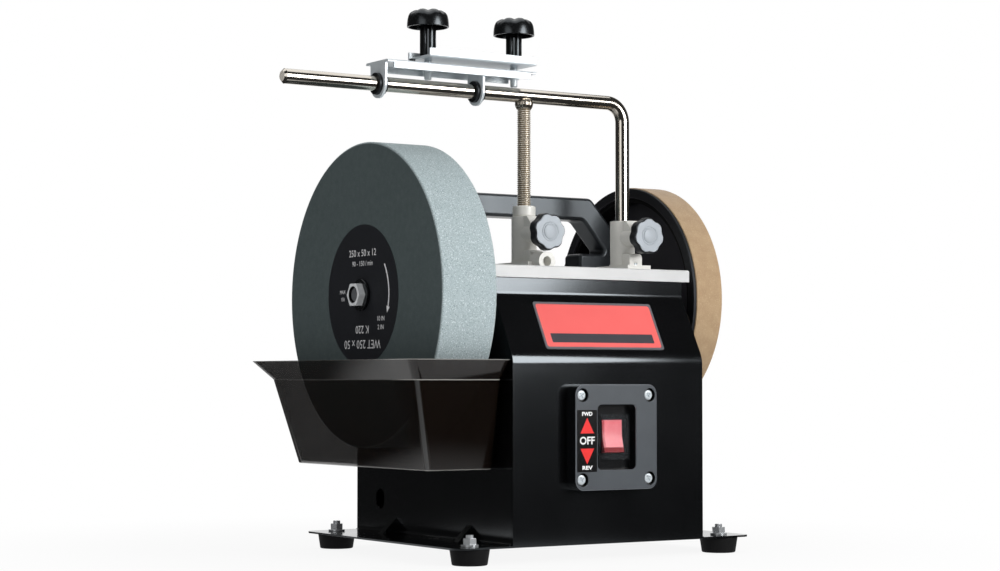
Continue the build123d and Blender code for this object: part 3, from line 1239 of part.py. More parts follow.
# Water trough: tapered box with round corners, a flared lip on three sides and a hook edge along the housing
trough_right = house_left - TROUGH_PANEL_GAP
lip_z = axle_z - TROUGH_LIP_BELOW_AXLE
crease_z = lip_z - TROUGH_LIP_HEIGHT
floor_z = axle_z - stone_radius - TROUGH_FLOOR_BELOW_STONE
trough_levels = [
    (floor_z, TROUGH_FLOOR_SIDE, TROUGH_FLOOR_END, TROUGH_FLOOR_CORNER),
    (crease_z, TROUGH_CREASE_SIDE, TROUGH_CREASE_END, TROUGH_CORNER),
    (lip_z, TROUGH_LIP_SIDE, TROUGH_LIP_END, TROUGH_CORNER),
]
hanger_top = lip_z - TROUGH_WALL
with BuildPart() as water_trough:
    for inset, mode in ((0, Mode.ADD), (TROUGH_WALL, Mode.SUBTRACT)):
        for low, high in zip(trough_levels, trough_levels[1:]):
            for level_z, side, end, corner in (low, high):
                lift = inset if level_z == floor_z else 0
                left = stone_left - side + inset
                right = trough_right - inset
                with BuildSketch(Plane.XY.offset(level_z + lift)):
                    with Locations(((left + right) / 2, axle_y)):
                        RectangleRounded(right - left, 2 * (stone_radius + end - inset), corner - inset)
            loft(ruled=True, mode=mode)
        if mode == Mode.ADD:
            fillet(water_trough.faces().sort_by(Axis.Z)[0].edges(), TROUGH_FLOOR_ROUND)
    with BuildSketch(Plane.XY.offset(lip_z)):
        with Locations((trough_right + TROUGH_HOOK_WIDTH / 2, axle_y)):
            Rectangle(TROUGH_HOOK_WIDTH, HANGER_WIDTH)
    extrude(amount=-TROUGH_WALL)
water_trough.part.label = "water_trough"
export_step(water_trough.part, "parts/water_trough.step")

# Trough hanger: plate on the left side panel whose top edge carries the hook edge of the trough
with BuildPart() as trough_hanger:
    with BuildSketch(Plane.XY.offset(hanger_top)):
        with Locations((house_left - HANGER_THICKNESS / 2, axle_y)):
            Rectangle(HANGER_THICKNESS, HANGER_WIDTH)
    extrude(amount=-HANGER_HEIGHT)
trough_hanger.part.label = "trough_hanger"
export_step(trough_hanger.part, "parts/trough_hanger.step")

# Carry handle: arch along the top plate with sloped shoulders and a block foot under each end
handle_top = plate_top + HANDLE_TOP
grip_z = handle_top - HANDLE_DEPTH
handle_foot_top = plate_top + HANDLE_FOOT_HEIGHT
shoulder_z = handle_top - HANDLE_SHOULDER_DROP
shoulder_angle = atan2(HANDLE_SHOULDER_DROP, HANDLE_SHOULDER_RUN)
inner_run = HANDLE_SHOULDER_RUN + HANDLE_DEPTH * tan(shoulder_angle / 2)
notch_run = inner_run - (grip_z - handle_foot_top) / tan(shoulder_angle)
outer_rounds = [0] + 4 * [HANDLE_CORNER] + [0]
foot_rounds = [HANDLE_FOOT_ROUND, HANDLE_NOTCH_ROUND]
inner_rounds = [0, *foot_rounds, HANDLE_CORNER, HANDLE_CORNER, *reversed(foot_rounds), 0]
with BuildPart() as carry_handle:
    with BuildSketch(Plane.XZ.offset(-handle_y)):
        with BuildLine():
            FilletPolyline(
                (handle_left, plate_top),
                (handle_left, shoulder_z),
                (handle_left + HANDLE_SHOULDER_RUN, handle_top),
                (handle_right - HANDLE_SHOULDER_RUN, handle_top),
                (handle_right, shoulder_z),
                (handle_right, plate_top),
                (handle_right - HANDLE_FOOT_LENGTH, plate_top),
                (handle_right - HANDLE_FOOT_LENGTH, handle_foot_top),
                (handle_right - notch_run, handle_foot_top),
                (handle_right - inner_run, grip_z),
                (handle_left + inner_run, grip_z),
                (handle_left + notch_run, handle_foot_top),
                (handle_left + HANDLE_FOOT_LENGTH, handle_foot_top),
                (handle_left + HANDLE_FOOT_LENGTH, plate_top),
                radius=outer_rounds + inner_rounds,
                close=True,
            )
        make_face()
    extrude(amount=HANDLE_WIDTH / 2, both=True)
    fillet(carry_handle.edges().filter_by(Axis.Y, reverse=True).filter_by(Axis.X, reverse=True), HANDLE_EDGE)
    with BuildSketch(Plane.XY.offset(plate_top)):
        with Locations(*handle_screw_places):
            Circle(PLATE_SCREW_DIAMETER / 2 + SLIP)
    extrude(amount=PLATE_SCREW_GRIP + FREE, mode=Mode.SUBTRACT)
carry_handle.part.label = "carry_handle"
export_step(carry_handle.part, "parts/carry_handle.step")

# Switch box: raised plastic box on the front panel with a recess for the rocker
switch_z = axle_z - SWITCH_BELOW_AXLE
switch_face_y = front_y - SWITCH_DEPTH
recess_y = switch_face_y + RECESS_DEPTH
bezel_y = recess_y - BEZEL_THICKNESS
switch_pocket_depth = SWITCH_SCREW_SINK + SWITCH_SCREW_HEAD_HEIGHT
with BuildPart() as switch_box:
    with BuildSketch(front_plane(switch_x, front_y, switch_z)):
        RectangleRounded(SWITCH_WIDTH, SWITCH_HEIGHT, SWITCH_CORNER)
    extrude(amount=SWITCH_DEPTH)
    fillet(switch_box.faces().sort_by(Axis.Y)[0].edges(), SWITCH_CORNER / 8)
    with BuildSketch(front_plane(switch_x, switch_face_y, switch_z)):
        RectangleRounded(RECESS_WIDTH, RECESS_HEIGHT, RECESS_CORNER)
        with GridLocations(SWITCH_SCREW_SPACING_X, SWITCH_SCREW_SPACING_Z, 2, 2):
            Circle(SWITCH_POCKET_DIAMETER / 2)
    extrude(amount=-switch_pocket_depth, mode=Mode.SUBTRACT)
    with BuildSketch(front_plane(switch_x, switch_face_y, switch_z)):
        RectangleRounded(RECESS_WIDTH, RECESS_HEIGHT, RECESS_CORNER)
    extrude(amount=-RECESS_DEPTH, mode=Mode.SUBTRACT)
    with BuildSketch(front_plane(switch_x, front_y, switch_z)):
        Rectangle(SWITCH_BODY_WIDTH + 2 * FREE, SWITCH_BODY_HEIGHT + 2 * FREE)
        with GridLocations(SWITCH_SCREW_SPACING_X, SWITCH_SCREW_SPACING_Z, 2, 2):
            Circle(SWITCH_SCREW_DIAMETER / 2 + SLIP)
    extrude(amount=SWITCH_DEPTH, mode=Mode.SUBTRACT)
switch_box.part.label = "switch_box"
export_step(switch_box.part, "parts/switch_box.step")

with BuildPart() as switch_screws:
    with Locations(front_plane(switch_x, switch_face_y + switch_pocket_depth, switch_z)):
        with GridLocations(SWITCH_SCREW_SPACING_X, SWITCH_SCREW_SPACING_Z, 2, 2):
            Cylinder(SWITCH_SCREW_HEAD_DIAMETER / 2, SWITCH_SCREW_HEAD_HEIGHT, align=STANDING)
            Cylinder(SWITCH_SCREW_DIAMETER / 2, SWITCH_SCREW_LENGTH, align=HANGING)
switch_screws.part.label = "switch_screws"
export_step(switch_screws.part, "parts/switch_screws.step")

# Printed label beside the rocker
label_x = switch_x - SWITCH_WIDTH / 2 + SWITCH_LABEL_MARGIN + SWITCH_LABEL_WIDTH / 2
with BuildPart() as switch_label:
    with BuildSketch(front_plane(label_x, switch_face_y, switch_z)):
        Rectangle(SWITCH_LABEL_WIDTH, SWITCH_LABEL_HEIGHT)
    extrude(amount=LABEL_THICKNESS)
switch_label.part.label = "switch_label"
export_step(switch_label.part, "parts/switch_label.step")

# Switch body: bezel on the floor of the recess and a body through the panel, with a well for the rocker
well_width = SWITCH_BODY_WIDTH - 2 * SWITCH_BODY_WALL
well_height = SWITCH_BODY_HEIGHT - 2 * SWITCH_BODY_WALL
rocker_width = well_width - 2 * FREE
rocker_reach = ROCKER_PIVOT_DEPTH + ROCKER_END_RISE
travel = ROCKER_TRAVEL * pi / 180
rocker_half = (well_height / 2 - FREE - rocker_reach * sin(travel)) / cos(travel)
pivot_y = bezel_y + ROCKER_PIVOT_DEPTH
well_depth = ROCKER_BACK_DEPTH + BEZEL_THICKNESS
with BuildPart() as switch_body:
    with BuildSketch(front_plane(switch_x, bezel_y, switch_z)):
        Rectangle(BEZEL_WIDTH, BEZEL_HEIGHT)
    extrude(amount=-BEZEL_THICKNESS)
    with BuildSketch(front_plane(switch_x, recess_y, switch_z)):
        Rectangle(SWITCH_BODY_WIDTH, SWITCH_BODY_HEIGHT)
    extrude(amount=-SWITCH_BODY_DEPTH)
    with BuildSketch(front_plane(switch_x, bezel_y, switch_z)):
        Rectangle(well_width, well_height)
    extrude(amount=-well_depth, mode=Mode.SUBTRACT)
    with Locations((switch_x, pivot_y, switch_z)):
        Cylinder(
            ROCKER_PIN_DIAMETER / 2 + RUNNING,
            well_width + SWITCH_BODY_WALL,
            rotation=(0, 90, 0),
            mode=Mode.SUBTRACT,
        )
switch_body.part.label = "switch_body"
export_step(switch_body.part, "parts/switch_body.step")

# Rocker: dished key on two pivot pins, pressed in at the top
rocker_plane = Plane(
    origin=(switch_x, pivot_y, switch_z),
    x_dir=(0, cos(travel), -sin(travel)),
    z_dir=(1, 0, 0),
)
rocker_face = -ROCKER_PIVOT_DEPTH - ROCKER_END_RISE
rocker_back = ROCKER_BACK_DEPTH - ROCKER_PIVOT_DEPTH
with BuildPart() as switch_rocker:
    with BuildSketch(rocker_plane):
        with BuildLine():
            Polyline(
                (rocker_face, rocker_half),
                (rocker_face + ROCKER_DISH, 0),
                (rocker_face, -rocker_half),
                (0, -rocker_half),
                (rocker_back, -ROCKER_BACK_HEIGHT / 2),
                (rocker_back, ROCKER_BACK_HEIGHT / 2),
                (0, rocker_half),
                close=True,
            )
        make_face()
    extrude(amount=rocker_width / 2, both=True)
    with Locations((switch_x, pivot_y, switch_z)):
        Cylinder(ROCKER_PIN_DIAMETER / 2, well_width + SWITCH_BODY_WALL - FREE, rotation=(0, 90, 0))
switch_rocker.part.label = "switch_rocker"
export_step(switch_rocker.part, "parts/switch_rocker.step")

# Splash cover: clear box over the rocker, seated on the bezel
with BuildPart() as splash_cover:
    with BuildSketch(front_plane(switch_x, bezel_y, switch_z)):
        Rectangle(BEZEL_WIDTH, BEZEL_HEIGHT)
    extrude(amount=COVER_DEPTH)
    fillet(splash_cover.faces().sort_by(Axis.Y)[0].edges(), COVER_WALL)
    with BuildSketch(front_plane(switch_x, bezel_y, switch_z)):
        Rectangle(BEZEL_WIDTH - 2 * COVER_WALL, BEZEL_HEIGHT - 2 * COVER_WALL)
    extrude(amount=COVER_DEPTH - COVER_WALL, mode=Mode.SUBTRACT)
splash_cover.part.label = "splash_cover"
export_step(splash_cover.part, "parts/splash_cover.step")
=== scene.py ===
import json
from math import atan2, cos, pi, radians, sin

import bpy
from mathutils import Matrix, Vector

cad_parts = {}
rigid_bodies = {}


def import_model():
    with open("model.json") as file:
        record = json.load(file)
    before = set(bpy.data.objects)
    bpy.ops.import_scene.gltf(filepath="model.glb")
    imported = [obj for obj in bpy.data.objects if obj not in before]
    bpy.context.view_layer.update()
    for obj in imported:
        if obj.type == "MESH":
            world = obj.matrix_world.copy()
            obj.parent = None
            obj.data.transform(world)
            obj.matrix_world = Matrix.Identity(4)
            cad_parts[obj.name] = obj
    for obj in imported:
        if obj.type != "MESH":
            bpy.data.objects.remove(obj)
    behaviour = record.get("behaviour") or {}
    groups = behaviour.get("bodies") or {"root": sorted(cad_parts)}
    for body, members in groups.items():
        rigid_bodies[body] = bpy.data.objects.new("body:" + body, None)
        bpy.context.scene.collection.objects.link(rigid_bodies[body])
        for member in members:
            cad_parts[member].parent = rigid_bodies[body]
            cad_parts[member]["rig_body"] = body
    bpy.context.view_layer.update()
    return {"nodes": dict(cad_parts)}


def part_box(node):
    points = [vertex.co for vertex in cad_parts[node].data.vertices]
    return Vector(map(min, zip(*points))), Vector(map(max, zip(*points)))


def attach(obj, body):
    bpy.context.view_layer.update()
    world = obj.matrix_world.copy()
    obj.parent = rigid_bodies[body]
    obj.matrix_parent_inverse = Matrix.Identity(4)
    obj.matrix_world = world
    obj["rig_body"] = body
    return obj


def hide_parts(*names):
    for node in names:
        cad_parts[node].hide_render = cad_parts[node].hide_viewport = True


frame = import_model()

# Bottom plate and motor bracket
# Folded sheet steel: the plate is painted with the housing, the bracket is bright zinc plated.
# The bracket is bolted to the plate and carries the motor by its right end cap.
MM = 0.001
COOL_GLOSS = (0.86, 0.94, 1.0, 1.0)
nodes = frame["nodes"]


def srgb(red, green, blue):
    """Linear colour of a colour chip given by its 0-255 numbers."""
    def linear(value):
        share = value / 255
        return share / 12.92 if share <= 0.04045 else ((share + 0.055) / 1.055) ** 2.4

    return (linear(red), linear(green), linear(blue), 1.0)


class Socket:
    """Output of a shader node; arithmetic on it adds Math nodes."""

    def __init__(self, finish, plug):
        self.finish = finish
        self.plug = plug

    def math(self, operation, *values):
        """Adds a Math node for an operation on values."""
        return self.finish.node("ShaderNodeMath", {"operation": operation}, dict(enumerate(values)))

    def __add__(self, other):
        return self.math("ADD", self, other)

    def __sub__(self, other):
        return self.math("SUBTRACT", self, other)

    def __rsub__(self, other):
        return self.math("SUBTRACT", other, self)

    def __mul__(self, other):
        return self.math("MULTIPLY", self, other)

    def __abs__(self):
        return self.math("ABSOLUTE", self)

    __radd__ = __add__
    __rmul__ = __mul__


class Finish:
    """A material, or the studio's world, built node by node."""

    def __init__(self, name, world=None, place="Object"):
        self.material = world or bpy.data.materials.new(name)
        self.material.use_nodes = True
        self.tree = self.material.node_tree
        self.tree.nodes.clear()
        self.place = self.node("ShaderNodeTexCoord", output=place)

    def node(self, kind, settings=None, inputs=None, output=0):
        """Adds a node, sets it, and links or sets its sockets."""
        added = self.tree.nodes.new(kind)
        for name, value in (settings or {}).items():
            setattr(added, name, value)
        for name, value in (inputs or {}).items():
            if isinstance(value, Socket):
                self.tree.links.new(value.plug, added.inputs[name])
            else:
                added.inputs[name].default_value = value
        return Socket(self, added.outputs[output]) if added.outputs else None

    def vector(self, operation, first, second=(0, 0, 0), output=0):
        """Adds a Vector Math node for an operation on one or two vectors."""
        return self.node("ShaderNodeVectorMath", {"operation": operation}, {0: first, 1: second}, output)

    def along(self, axis, way=None):
        """How far a way, or else the point's own place, reaches along an axis."""
        return self.vector("DOT_PRODUCT", way or self.place, axis, output="Value")

    def from_axis(self, middle, across):
        """Distance from an axis through a middle; across has a 1 for each direction square to the axis."""
        offset = self.vector("SUBTRACT", self.place, middle)
        return self.vector("LENGTH", self.vector("MULTIPLY", offset, across), output="Value")

    def grain(self, size, detail=2.0, stretch=(1, 1, 1)):
        """Noise from 0 to 1 with spots of about a size; a low stretch draws them out along that axis."""
        place = self.vector("MULTIPLY", self.place, stretch)
        return self.node("ShaderNodeTexNoise", {}, {"Vector": place, "Scale": 1 / size, "Detail": detail})

    def rise(self, value, start, end):
        """0 below the start and 1 above the end, with a soft step between."""
        span = {"Value": value, "From Min": start, "From Max": end}
        return self.node("ShaderNodeMapRange", {"interpolation_type": "SMOOTHSTEP"}, span)

    def blend(self, mask, first, second):
        """The first colour where the mask is 0 and the second where it is 1."""
        return self.node("ShaderNodeMix", {"data_type": "RGBA"}, {0: mask, 6: first, 7: second}, output=2)

    def bump(self, height, depth):
        """Normal of a surface that stands as much as a depth higher where the height is 1."""
        return self.node("ShaderNodeBump", {}, {"Height": height, "Distance": depth})

    def surface(self, values):
        """A finish whose shader has these values."""
        shader = self.node("ShaderNodeBsdfPrincipled", {}, values)
        self.node("ShaderNodeOutputMaterial", {}, {"Surface": shader})
        return self


def coat(finish, *names):
    """Gives CAD nodes a finish."""
    for name in names:
        mesh = nodes[name].data
        mesh.materials.clear()
        mesh.materials.append(finish.material)


def black_paint():
    """Glossy powder coat with a faint orange peel."""
    paint = Finish("black_paint")
    cloud = paint.grain(45 * MM, 3)
    peel = paint.grain(1.8 * MM, 2)
    return paint.surface({
        "Base Color": paint.blend(cloud, srgb(5, 5, 6), srgb(9, 9, 10)),
        "Roughness": cloud * 0.06 + 0.10,
        "Specular IOR Level": 1.0,
        "Specular Tint": COOL_GLOSS,
        "Normal": paint.bump(peel, 0.004 * MM),
    })


def plated_steel(name, dull, bright, roughness, metal=1.0):
    """Zinc or nickel plate: cloudy, with fine draw marks."""
    plate = Finish(name)
    cloud = plate.grain(9 * MM, 4)
    marks = plate.grain(0.5 * MM, 2, (0.15, 1, 1))
    return plate.surface({
        "Base Color": plate.blend(cloud, dull, bright),
        "Metallic": metal,
        "Roughness": cloud * 0.12 + marks * 0.06 + roughness,
        "Normal": plate.bump(marks, 0.004 * MM),
    })


housing_paint = black_paint()
bright_zinc = plated_steel("bright_zinc", srgb(204, 212, 217), srgb(222, 229, 233), 0.22, 0.22)
coat(housing_paint, "bottom_plate")
coat(bright_zinc, "motor_bracket")

# Motor
# Cast aluminium shell and end caps round a laminated stator and rotor; a can capacitor stands beside it.
# The turned steel shaft reaches out of the right side panel, where its spindle drives the honing drum.


def raw_casting(name, dull, bright, roughness, metal):
    """Aluminium as cast: pale, with a fine sandy skin."""
    cast = Finish(name)
    sand = cast.grain(0.7 * MM, 3)
    cloud = cast.grain(14 * MM, 3)
    return cast.surface({
        "Base Color": cast.blend(cloud, dull, bright),
        "Metallic": metal,
        "Roughness": cloud * 0.12 + roughness,
        "Normal": cast.bump(sand, 0.02 * MM),
    })


def laminations():
    """Stacked electrical sheet: thin dark and light lines across the shaft."""
    stack = Finish("laminations")
    line = stack.grain(0.5 * MM, 1, (1, 0.02, 0.02))
    return stack.surface({
        "Base Color": stack.blend(line, srgb(70, 70, 74), srgb(150, 150, 154)),
        "Metallic": 0.9,
        "Roughness": line * 0.2 + 0.35,
        "Normal": stack.bump(line, 0.03 * MM),
    })


motor_casting = raw_casting("motor_casting", srgb(150, 152, 154), srgb(190, 192, 194), 0.38, 0.5)
coat(motor_casting, "motor_shell", "motor_end_caps", "capacitor")
coat(laminations(), "motor_stator", "motor_rotor")
coat(bright_zinc, "motor_shaft", "motor_screws")

# Axle and its bearings
# One turned steel shaft from the stone's nut to the honing wheel's nut.
# It runs in plain bronze blocks that are screwed to the side panels from outside.
axle_steel = plated_steel("axle_steel", srgb(92, 94, 98), srgb(128, 130, 134), 0.25, 0.2)
bearing_bronze = plated_steel("bearing_bronze", srgb(150, 112, 62), srgb(186, 146, 88), 0.3)
coat(axle_steel, "main_axle")
coat(bearing_bronze, "axle_bearings")

# Housing panels
# Sheet steel folded on a press brake and powder coated black: two side panels with out-turned base flanges
# and pressed gussets, a front panel with a sloped brow, and a slotted rear panel on sheet metal screws.
PANEL_EDGE = 0.4 * MM
SHARP_CORNER = radians(35)
SEAM_GAP = 0.002 * MM
FLAT_FOLD = radians(0.2)
FLAT_WEIGHT = 100


def only(piece):
    """Selects one piece and nothing else."""
    bpy.ops.object.select_all(action="DESELECT")
    piece.select_set(True)
    bpy.context.view_layer.objects.active = piece


def apply_modifier(kind, **settings):
    """Adds a modifier to the active piece, sets it and applies it."""
    bpy.ops.object.modifier_add(type=kind)
    modifier = bpy.context.object.modifiers[-1]
    for name, value in settings.items():
        setattr(modifier, name, value)
    bpy.ops.object.modifier_apply(modifier=modifier.name)


def smooth_faces(piece):
    """Shades a piece round, with its large faces kept flat."""
    only(piece)
    bpy.ops.object.shade_smooth()
    apply_modifier("WEIGHTED_NORMAL", mode="FACE_AREA", weight=FLAT_WEIGHT)


def break_edges(edge, corner, steps=2):
    """Bevels the edges of the active piece that turn by more than a corner's angle."""
    apply_modifier("BEVEL", width=edge, segments=steps, limit_method="ANGLE", angle_limit=corner)


def softened(node, edge, corner=SHARP_CORNER, steps=2):
    """Copy of a CAD node with its sharp edges broken."""
    piece = bpy.data.objects.new(f"finished_{node}", nodes[node].data.copy())
    bpy.context.scene.collection.objects.link(piece)
    piece.data.materials.clear()
    only(piece)
    bpy.ops.mesh.customdata_custom_splitnormals_clear()
    bpy.ops.object.mode_set(mode="EDIT")
    bpy.ops.mesh.select_all(action="SELECT")
    bpy.ops.mesh.remove_doubles(threshold=SEAM_GAP)
    bpy.ops.mesh.dissolve_limited(angle_limit=FLAT_FOLD)
    bpy.ops.mesh.mark_sharp(clear=True)
    bpy.ops.object.mode_set(mode="OBJECT")
    break_edges(edge, corner, steps)
    smooth_faces(piece)
    return piece


def stand_for(piece, node, finish):
    """A finished piece takes the place of a CAD node."""
    piece.data.materials.clear()
    piece.data.materials.append(finish.material)
    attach(piece, nodes[node]["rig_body"])
    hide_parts(node)


def dress(finish, edge, *names, corner=SHARP_CORNER, steps=2):
    """Breaks the edges of CAD nodes and gives them a finish."""
    for name in names:
        stand_for(softened(name, edge, corner, steps), name, finish)


dress(housing_paint, PANEL_EDGE, "left_side_panel", "right_side_panel", "front_panel", "rear_panel")

# Top plate and the housing's screws
# Ten millimetre aluminium plate, milled on its faces, with its edges just broken.
# Countersunk screws hold it on the side panels; others, from below, hold the sleeves and the handle on it.
PLATE_EDGE = 0.3 * MM
PLATE_CORNER = radians(25)
SCREW_EDGE = 0.35 * MM


def milled_aluminium():
    """Bright milled plate with long fine tool marks."""
    plate = Finish("milled_aluminium")
    marks = plate.grain(0.6 * MM, 2, (0.03, 1, 1))
    cloud = plate.grain(25 * MM, 3)
    return plate.surface({
        "Base Color": plate.blend(cloud, srgb(189, 190, 190), srgb(207, 208, 208)),
        "Metallic": 0.1,
        "Roughness": marks * 0.14 + cloud * 0.06 + 0.28,
        "Normal": plate.bump(marks, 0.01 * MM),
    })


dress(milled_aluminium(), PLATE_EDGE, "top_plate", corner=PLATE_CORNER)
dress(bright_zinc, SCREW_EDGE, "top_plate_screws", "plate_screws", "panel_screws")

# Badge
# Thin printed plate stuck on the front panel's brow.
# A dark frame stands round a red enamel field, which has a blank dark band near its foot.
BADGE_THICKNESS = 0.8 * MM
BADGE_CORNER = 2 * MM
BADGE_FRAME = 1.8 * MM
BADGE_RELIEF = 0.25 * MM
FIELD_GAP = 0.1 * MM
FIELD_THICKNESS = 0.12 * MM
FIELD_CORNER = 2.2 * MM
BAND_SIZE = (101 * MM, 8.2 * MM)
BAND_DROP = 11.5 * MM
BAND_THICKNESS = 0.06 * MM
BAND_CORNER = 0.8 * MM
BROW_RUN = 27.5
BROW_RISE = 51.0
CORNER_STEPS = 5
TOUCH = 0.001 * MM


def enamel(name, deep, light):
    """Glossy printed film, a little uneven in its colour."""
    film = Finish(name)
    cloud = film.grain(30 * MM, 2)
    return film.surface({
        "Base Color": film.blend(cloud, deep, light),
        "Roughness": cloud * 0.05 + 0.3,
        "Normal": film.bump(cloud, 0.01 * MM),
    })


def pick(kind, test):
    """Opens the active piece and selects the parts of it whose middle passes a test."""
    bpy.ops.object.mode_set(mode="EDIT")
    bpy.ops.mesh.select_mode(type=kind)
    bpy.ops.mesh.select_all(action="DESELECT")
    bpy.ops.object.mode_set(mode="OBJECT")
    mesh = bpy.context.object.data
    if kind == "VERT":
        for vertex in mesh.vertices:
            vertex.select = test(vertex.co)
    elif kind == "EDGE":
        for edge in mesh.edges:
            ends = [mesh.vertices[index].co for index in edge.vertices]
            edge.select = test((ends[0] + ends[1]) / 2)
    else:
        for face in mesh.polygons:
            face.select = test(face.center)
    bpy.ops.object.mode_set(mode="EDIT")


def plate_block(name, width, height, depth, corner):
    """Flat plate with round corners on the XY plane, its back at nought."""
    bpy.ops.object.select_all(action="DESELECT")
    bpy.ops.mesh.primitive_cube_add(size=1, location=(0, 0, depth / 2), scale=(width, height, depth))
    piece = bpy.context.object
    piece.name = name
    bpy.ops.object.transform_apply(location=True, rotation=True, scale=True)
    pick("EDGE", lambda middle: width / 2 - abs(middle.x) < TOUCH and height / 2 - abs(middle.y) < TOUCH)
    bpy.ops.mesh.bevel(offset=corner, segments=CORNER_STEPS, affect="EDGES")
    bpy.ops.object.mode_set(mode="OBJECT")
    return piece


def facing(x_axis, y_axis, origin):
    """Frame at a place, given by two of its axes."""
    across = Vector(x_axis).normalized()
    up = Vector(y_axis).normalized()
    out = across.cross(up)
    return Matrix.Translation(origin) @ Matrix((across, up, out)).transposed().to_4x4()


def settle(piece, place):
    """Puts a piece made at the origin in its place, in its mesh."""
    only(piece)
    piece.matrix_world = place
    bpy.ops.object.transform_apply(location=True, rotation=True, scale=True)


def fix_on(piece, body, finish):
    """A piece with no CAD node of its own gets its finish and its body."""
    piece.data.materials.append(finish.material)
    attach(piece, body)


badge_low, badge_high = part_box("badge_plate")
badge_size = badge_high - badge_low
brow_angle = atan2(BROW_RUN, BROW_RISE)
badge_height = (badge_size.z - BADGE_THICKNESS * sin(brow_angle)) / cos(brow_angle)
badge_up = Vector((0, sin(brow_angle), cos(brow_angle)))
badge_out = Vector((0, -cos(brow_angle), sin(brow_angle)))
badge_middle = (badge_low + badge_high) / 2 - badge_out * BADGE_THICKNESS / 2
badge_place = facing((1, 0, 0), badge_up, badge_middle)

badge = plate_block("badge_frame", badge_size.x, badge_height, BADGE_THICKNESS, BADGE_CORNER)
pick("FACE", lambda middle: BADGE_THICKNESS - middle.z < TOUCH)
bpy.ops.mesh.inset(thickness=BADGE_FRAME)
bpy.ops.mesh.extrude_region_move(TRANSFORM_OT_translate={"value": (0, 0, -BADGE_RELIEF)})
bpy.ops.object.mode_set(mode="OBJECT")
settle(badge, badge_place)
stand_for(badge, "badge_plate", enamel("badge_frame_grey", srgb(96, 96, 100), srgb(112, 112, 117)))

field_margin = 2 * BADGE_FRAME + 2 * FIELD_GAP
field_size = (badge_size.x - field_margin, badge_height - field_margin)
field_floor = BADGE_THICKNESS - BADGE_RELIEF
field = plate_block("badge_field", *field_size, FIELD_THICKNESS, FIELD_CORNER)
settle(field, badge_place @ Matrix.Translation((0, 0, field_floor)))
fix_on(field, "chassis", enamel("badge_red", srgb(238, 100, 98), srgb(248, 114, 110)))

band = plate_block("badge_band", *BAND_SIZE, BAND_THICKNESS, BAND_CORNER)
settle(band, badge_place @ Matrix.Translation((0, -BAND_DROP, field_floor + FIELD_THICKNESS)))
fix_on(band, "chassis", enamel("badge_grey", srgb(62, 60, 66), srgb(74, 72, 78)))

# Feet with their screws and nuts
# Tapered moulded rubber feet, pressed a little wide under the base flanges by the machine's weight.
# Each hangs on a bright screw with a washer nut on the flange.
FOOT_SPREAD = 1.14
FOOT_EDGE = 0.9 * MM


def rubber():
    """Matt moulded rubber with a dusty bloom."""
    gum = Finish("foot_rubber")
    bloom = gum.grain(6 * MM, 4)
    skin = gum.grain(0.8 * MM, 2)
    return gum.surface({
        "Base Color": gum.blend(bloom, srgb(10, 10, 11), srgb(17, 17, 18)),
        "Roughness": bloom * 0.15 + 0.55,
        "Specular IOR Level": 0.15,
        "Normal": gum.bump(skin, 0.03 * MM),
    })


foot_rubber = rubber()
for node in ("foot_front_left", "foot_front_right", "foot_rear_left", "foot_rear_right"):
    foot_low, foot_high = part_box(node)
    foot_axis = Matrix.Translation((foot_low + foot_high) / 2)
    foot = softened(node, FOOT_EDGE, steps=3)
    settle(foot, foot_axis @ Matrix.Diagonal((FOOT_SPREAD, FOOT_SPREAD, 1, 1)) @ foot_axis.inverted())
    stand_for(foot, node, foot_rubber)
nut_chrome = plated_steel("nut_chrome", srgb(200, 203, 206), srgb(232, 235, 238), 0.12, 0.6)
dress(nut_chrome, SCREW_EDGE, "foot_screws", "foot_nuts")

# Sleeves and height nut
# Aluminium castings, blasted to a satin grey: the sleeves guide the bar's legs, on screws from below.
# The round nut turns on the threaded leg and rests on the left sleeve.
SLEEVE_EDGE = 0.8 * MM
HEIGHT_NUT_EDGE = 0.5 * MM
satin_casting = raw_casting("satin_casting", srgb(222, 221, 215), srgb(236, 235, 230), 0.3, 0.05)
dress(satin_casting, SLEEVE_EDGE, "left_sleeve", "right_sleeve", steps=3)
dress(satin_casting, HEIGHT_NUT_EDGE, "height_nut")

# Support bar
# Twelve millimetre round steel bar, bent once into a leg and nickel plated, with chamfered ends.
# Its leg slides in the right sleeve, and the jig hangs on its long arm.
SAWN_DEPTH = 0.2 * MM
SAWN_FADE = 0.3 * MM
bar_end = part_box("support_bar")[0].x + SAWN_DEPTH


def nickel_bar():
    """Polished nickel with faint draw lines along the bar, duller on its sawn end."""
    bar = Finish("nickel_bar")
    end = 1 - bar.rise(bar.along((1, 0, 0)), bar_end, bar_end + SAWN_FADE)
    cloud = bar.grain(12 * MM, 3)
    lines = bar.grain(0.4 * MM, 2, (0.02, 1, 0.3))
    return bar.surface({
        "Base Color": bar.blend(cloud, srgb(206, 199, 188), srgb(226, 220, 210)),
        "Metallic": 1 - end * 0.9,
        "Roughness": cloud * 0.05 + lines * 0.05 + end * 0.4 + 0.07,
        "Normal": bar.bump(lines, 0.002 * MM),
    })


coat(nickel_bar(), "support_bar")

# Threaded leg
# Plated steel rod with a rolled thread, on which the height nut runs.
# It is welded under the bar, with a bright rippled bead round its top.
THREAD_PITCH = 1.75 * MM
THREAD_DEPTH = 0.9 * MM
THREAD_RADIUS = 5.8 * MM
THREAD_STEPS = 28
THREAD_CORNER = radians(50)
# Height above the core where the thread's valleys turn darker and browner.
VALLEY_MARGIN = 0.1 * MM
ROD_CORE = THREAD_RADIUS - THREAD_DEPTH
ROD_GAP = 0.05 * MM
ROD_TIP = 0.4 * MM
LEAD_IN = 1.2 * MM
TURNED_STEPS = 48
START_SPECK = 0.1 * MM
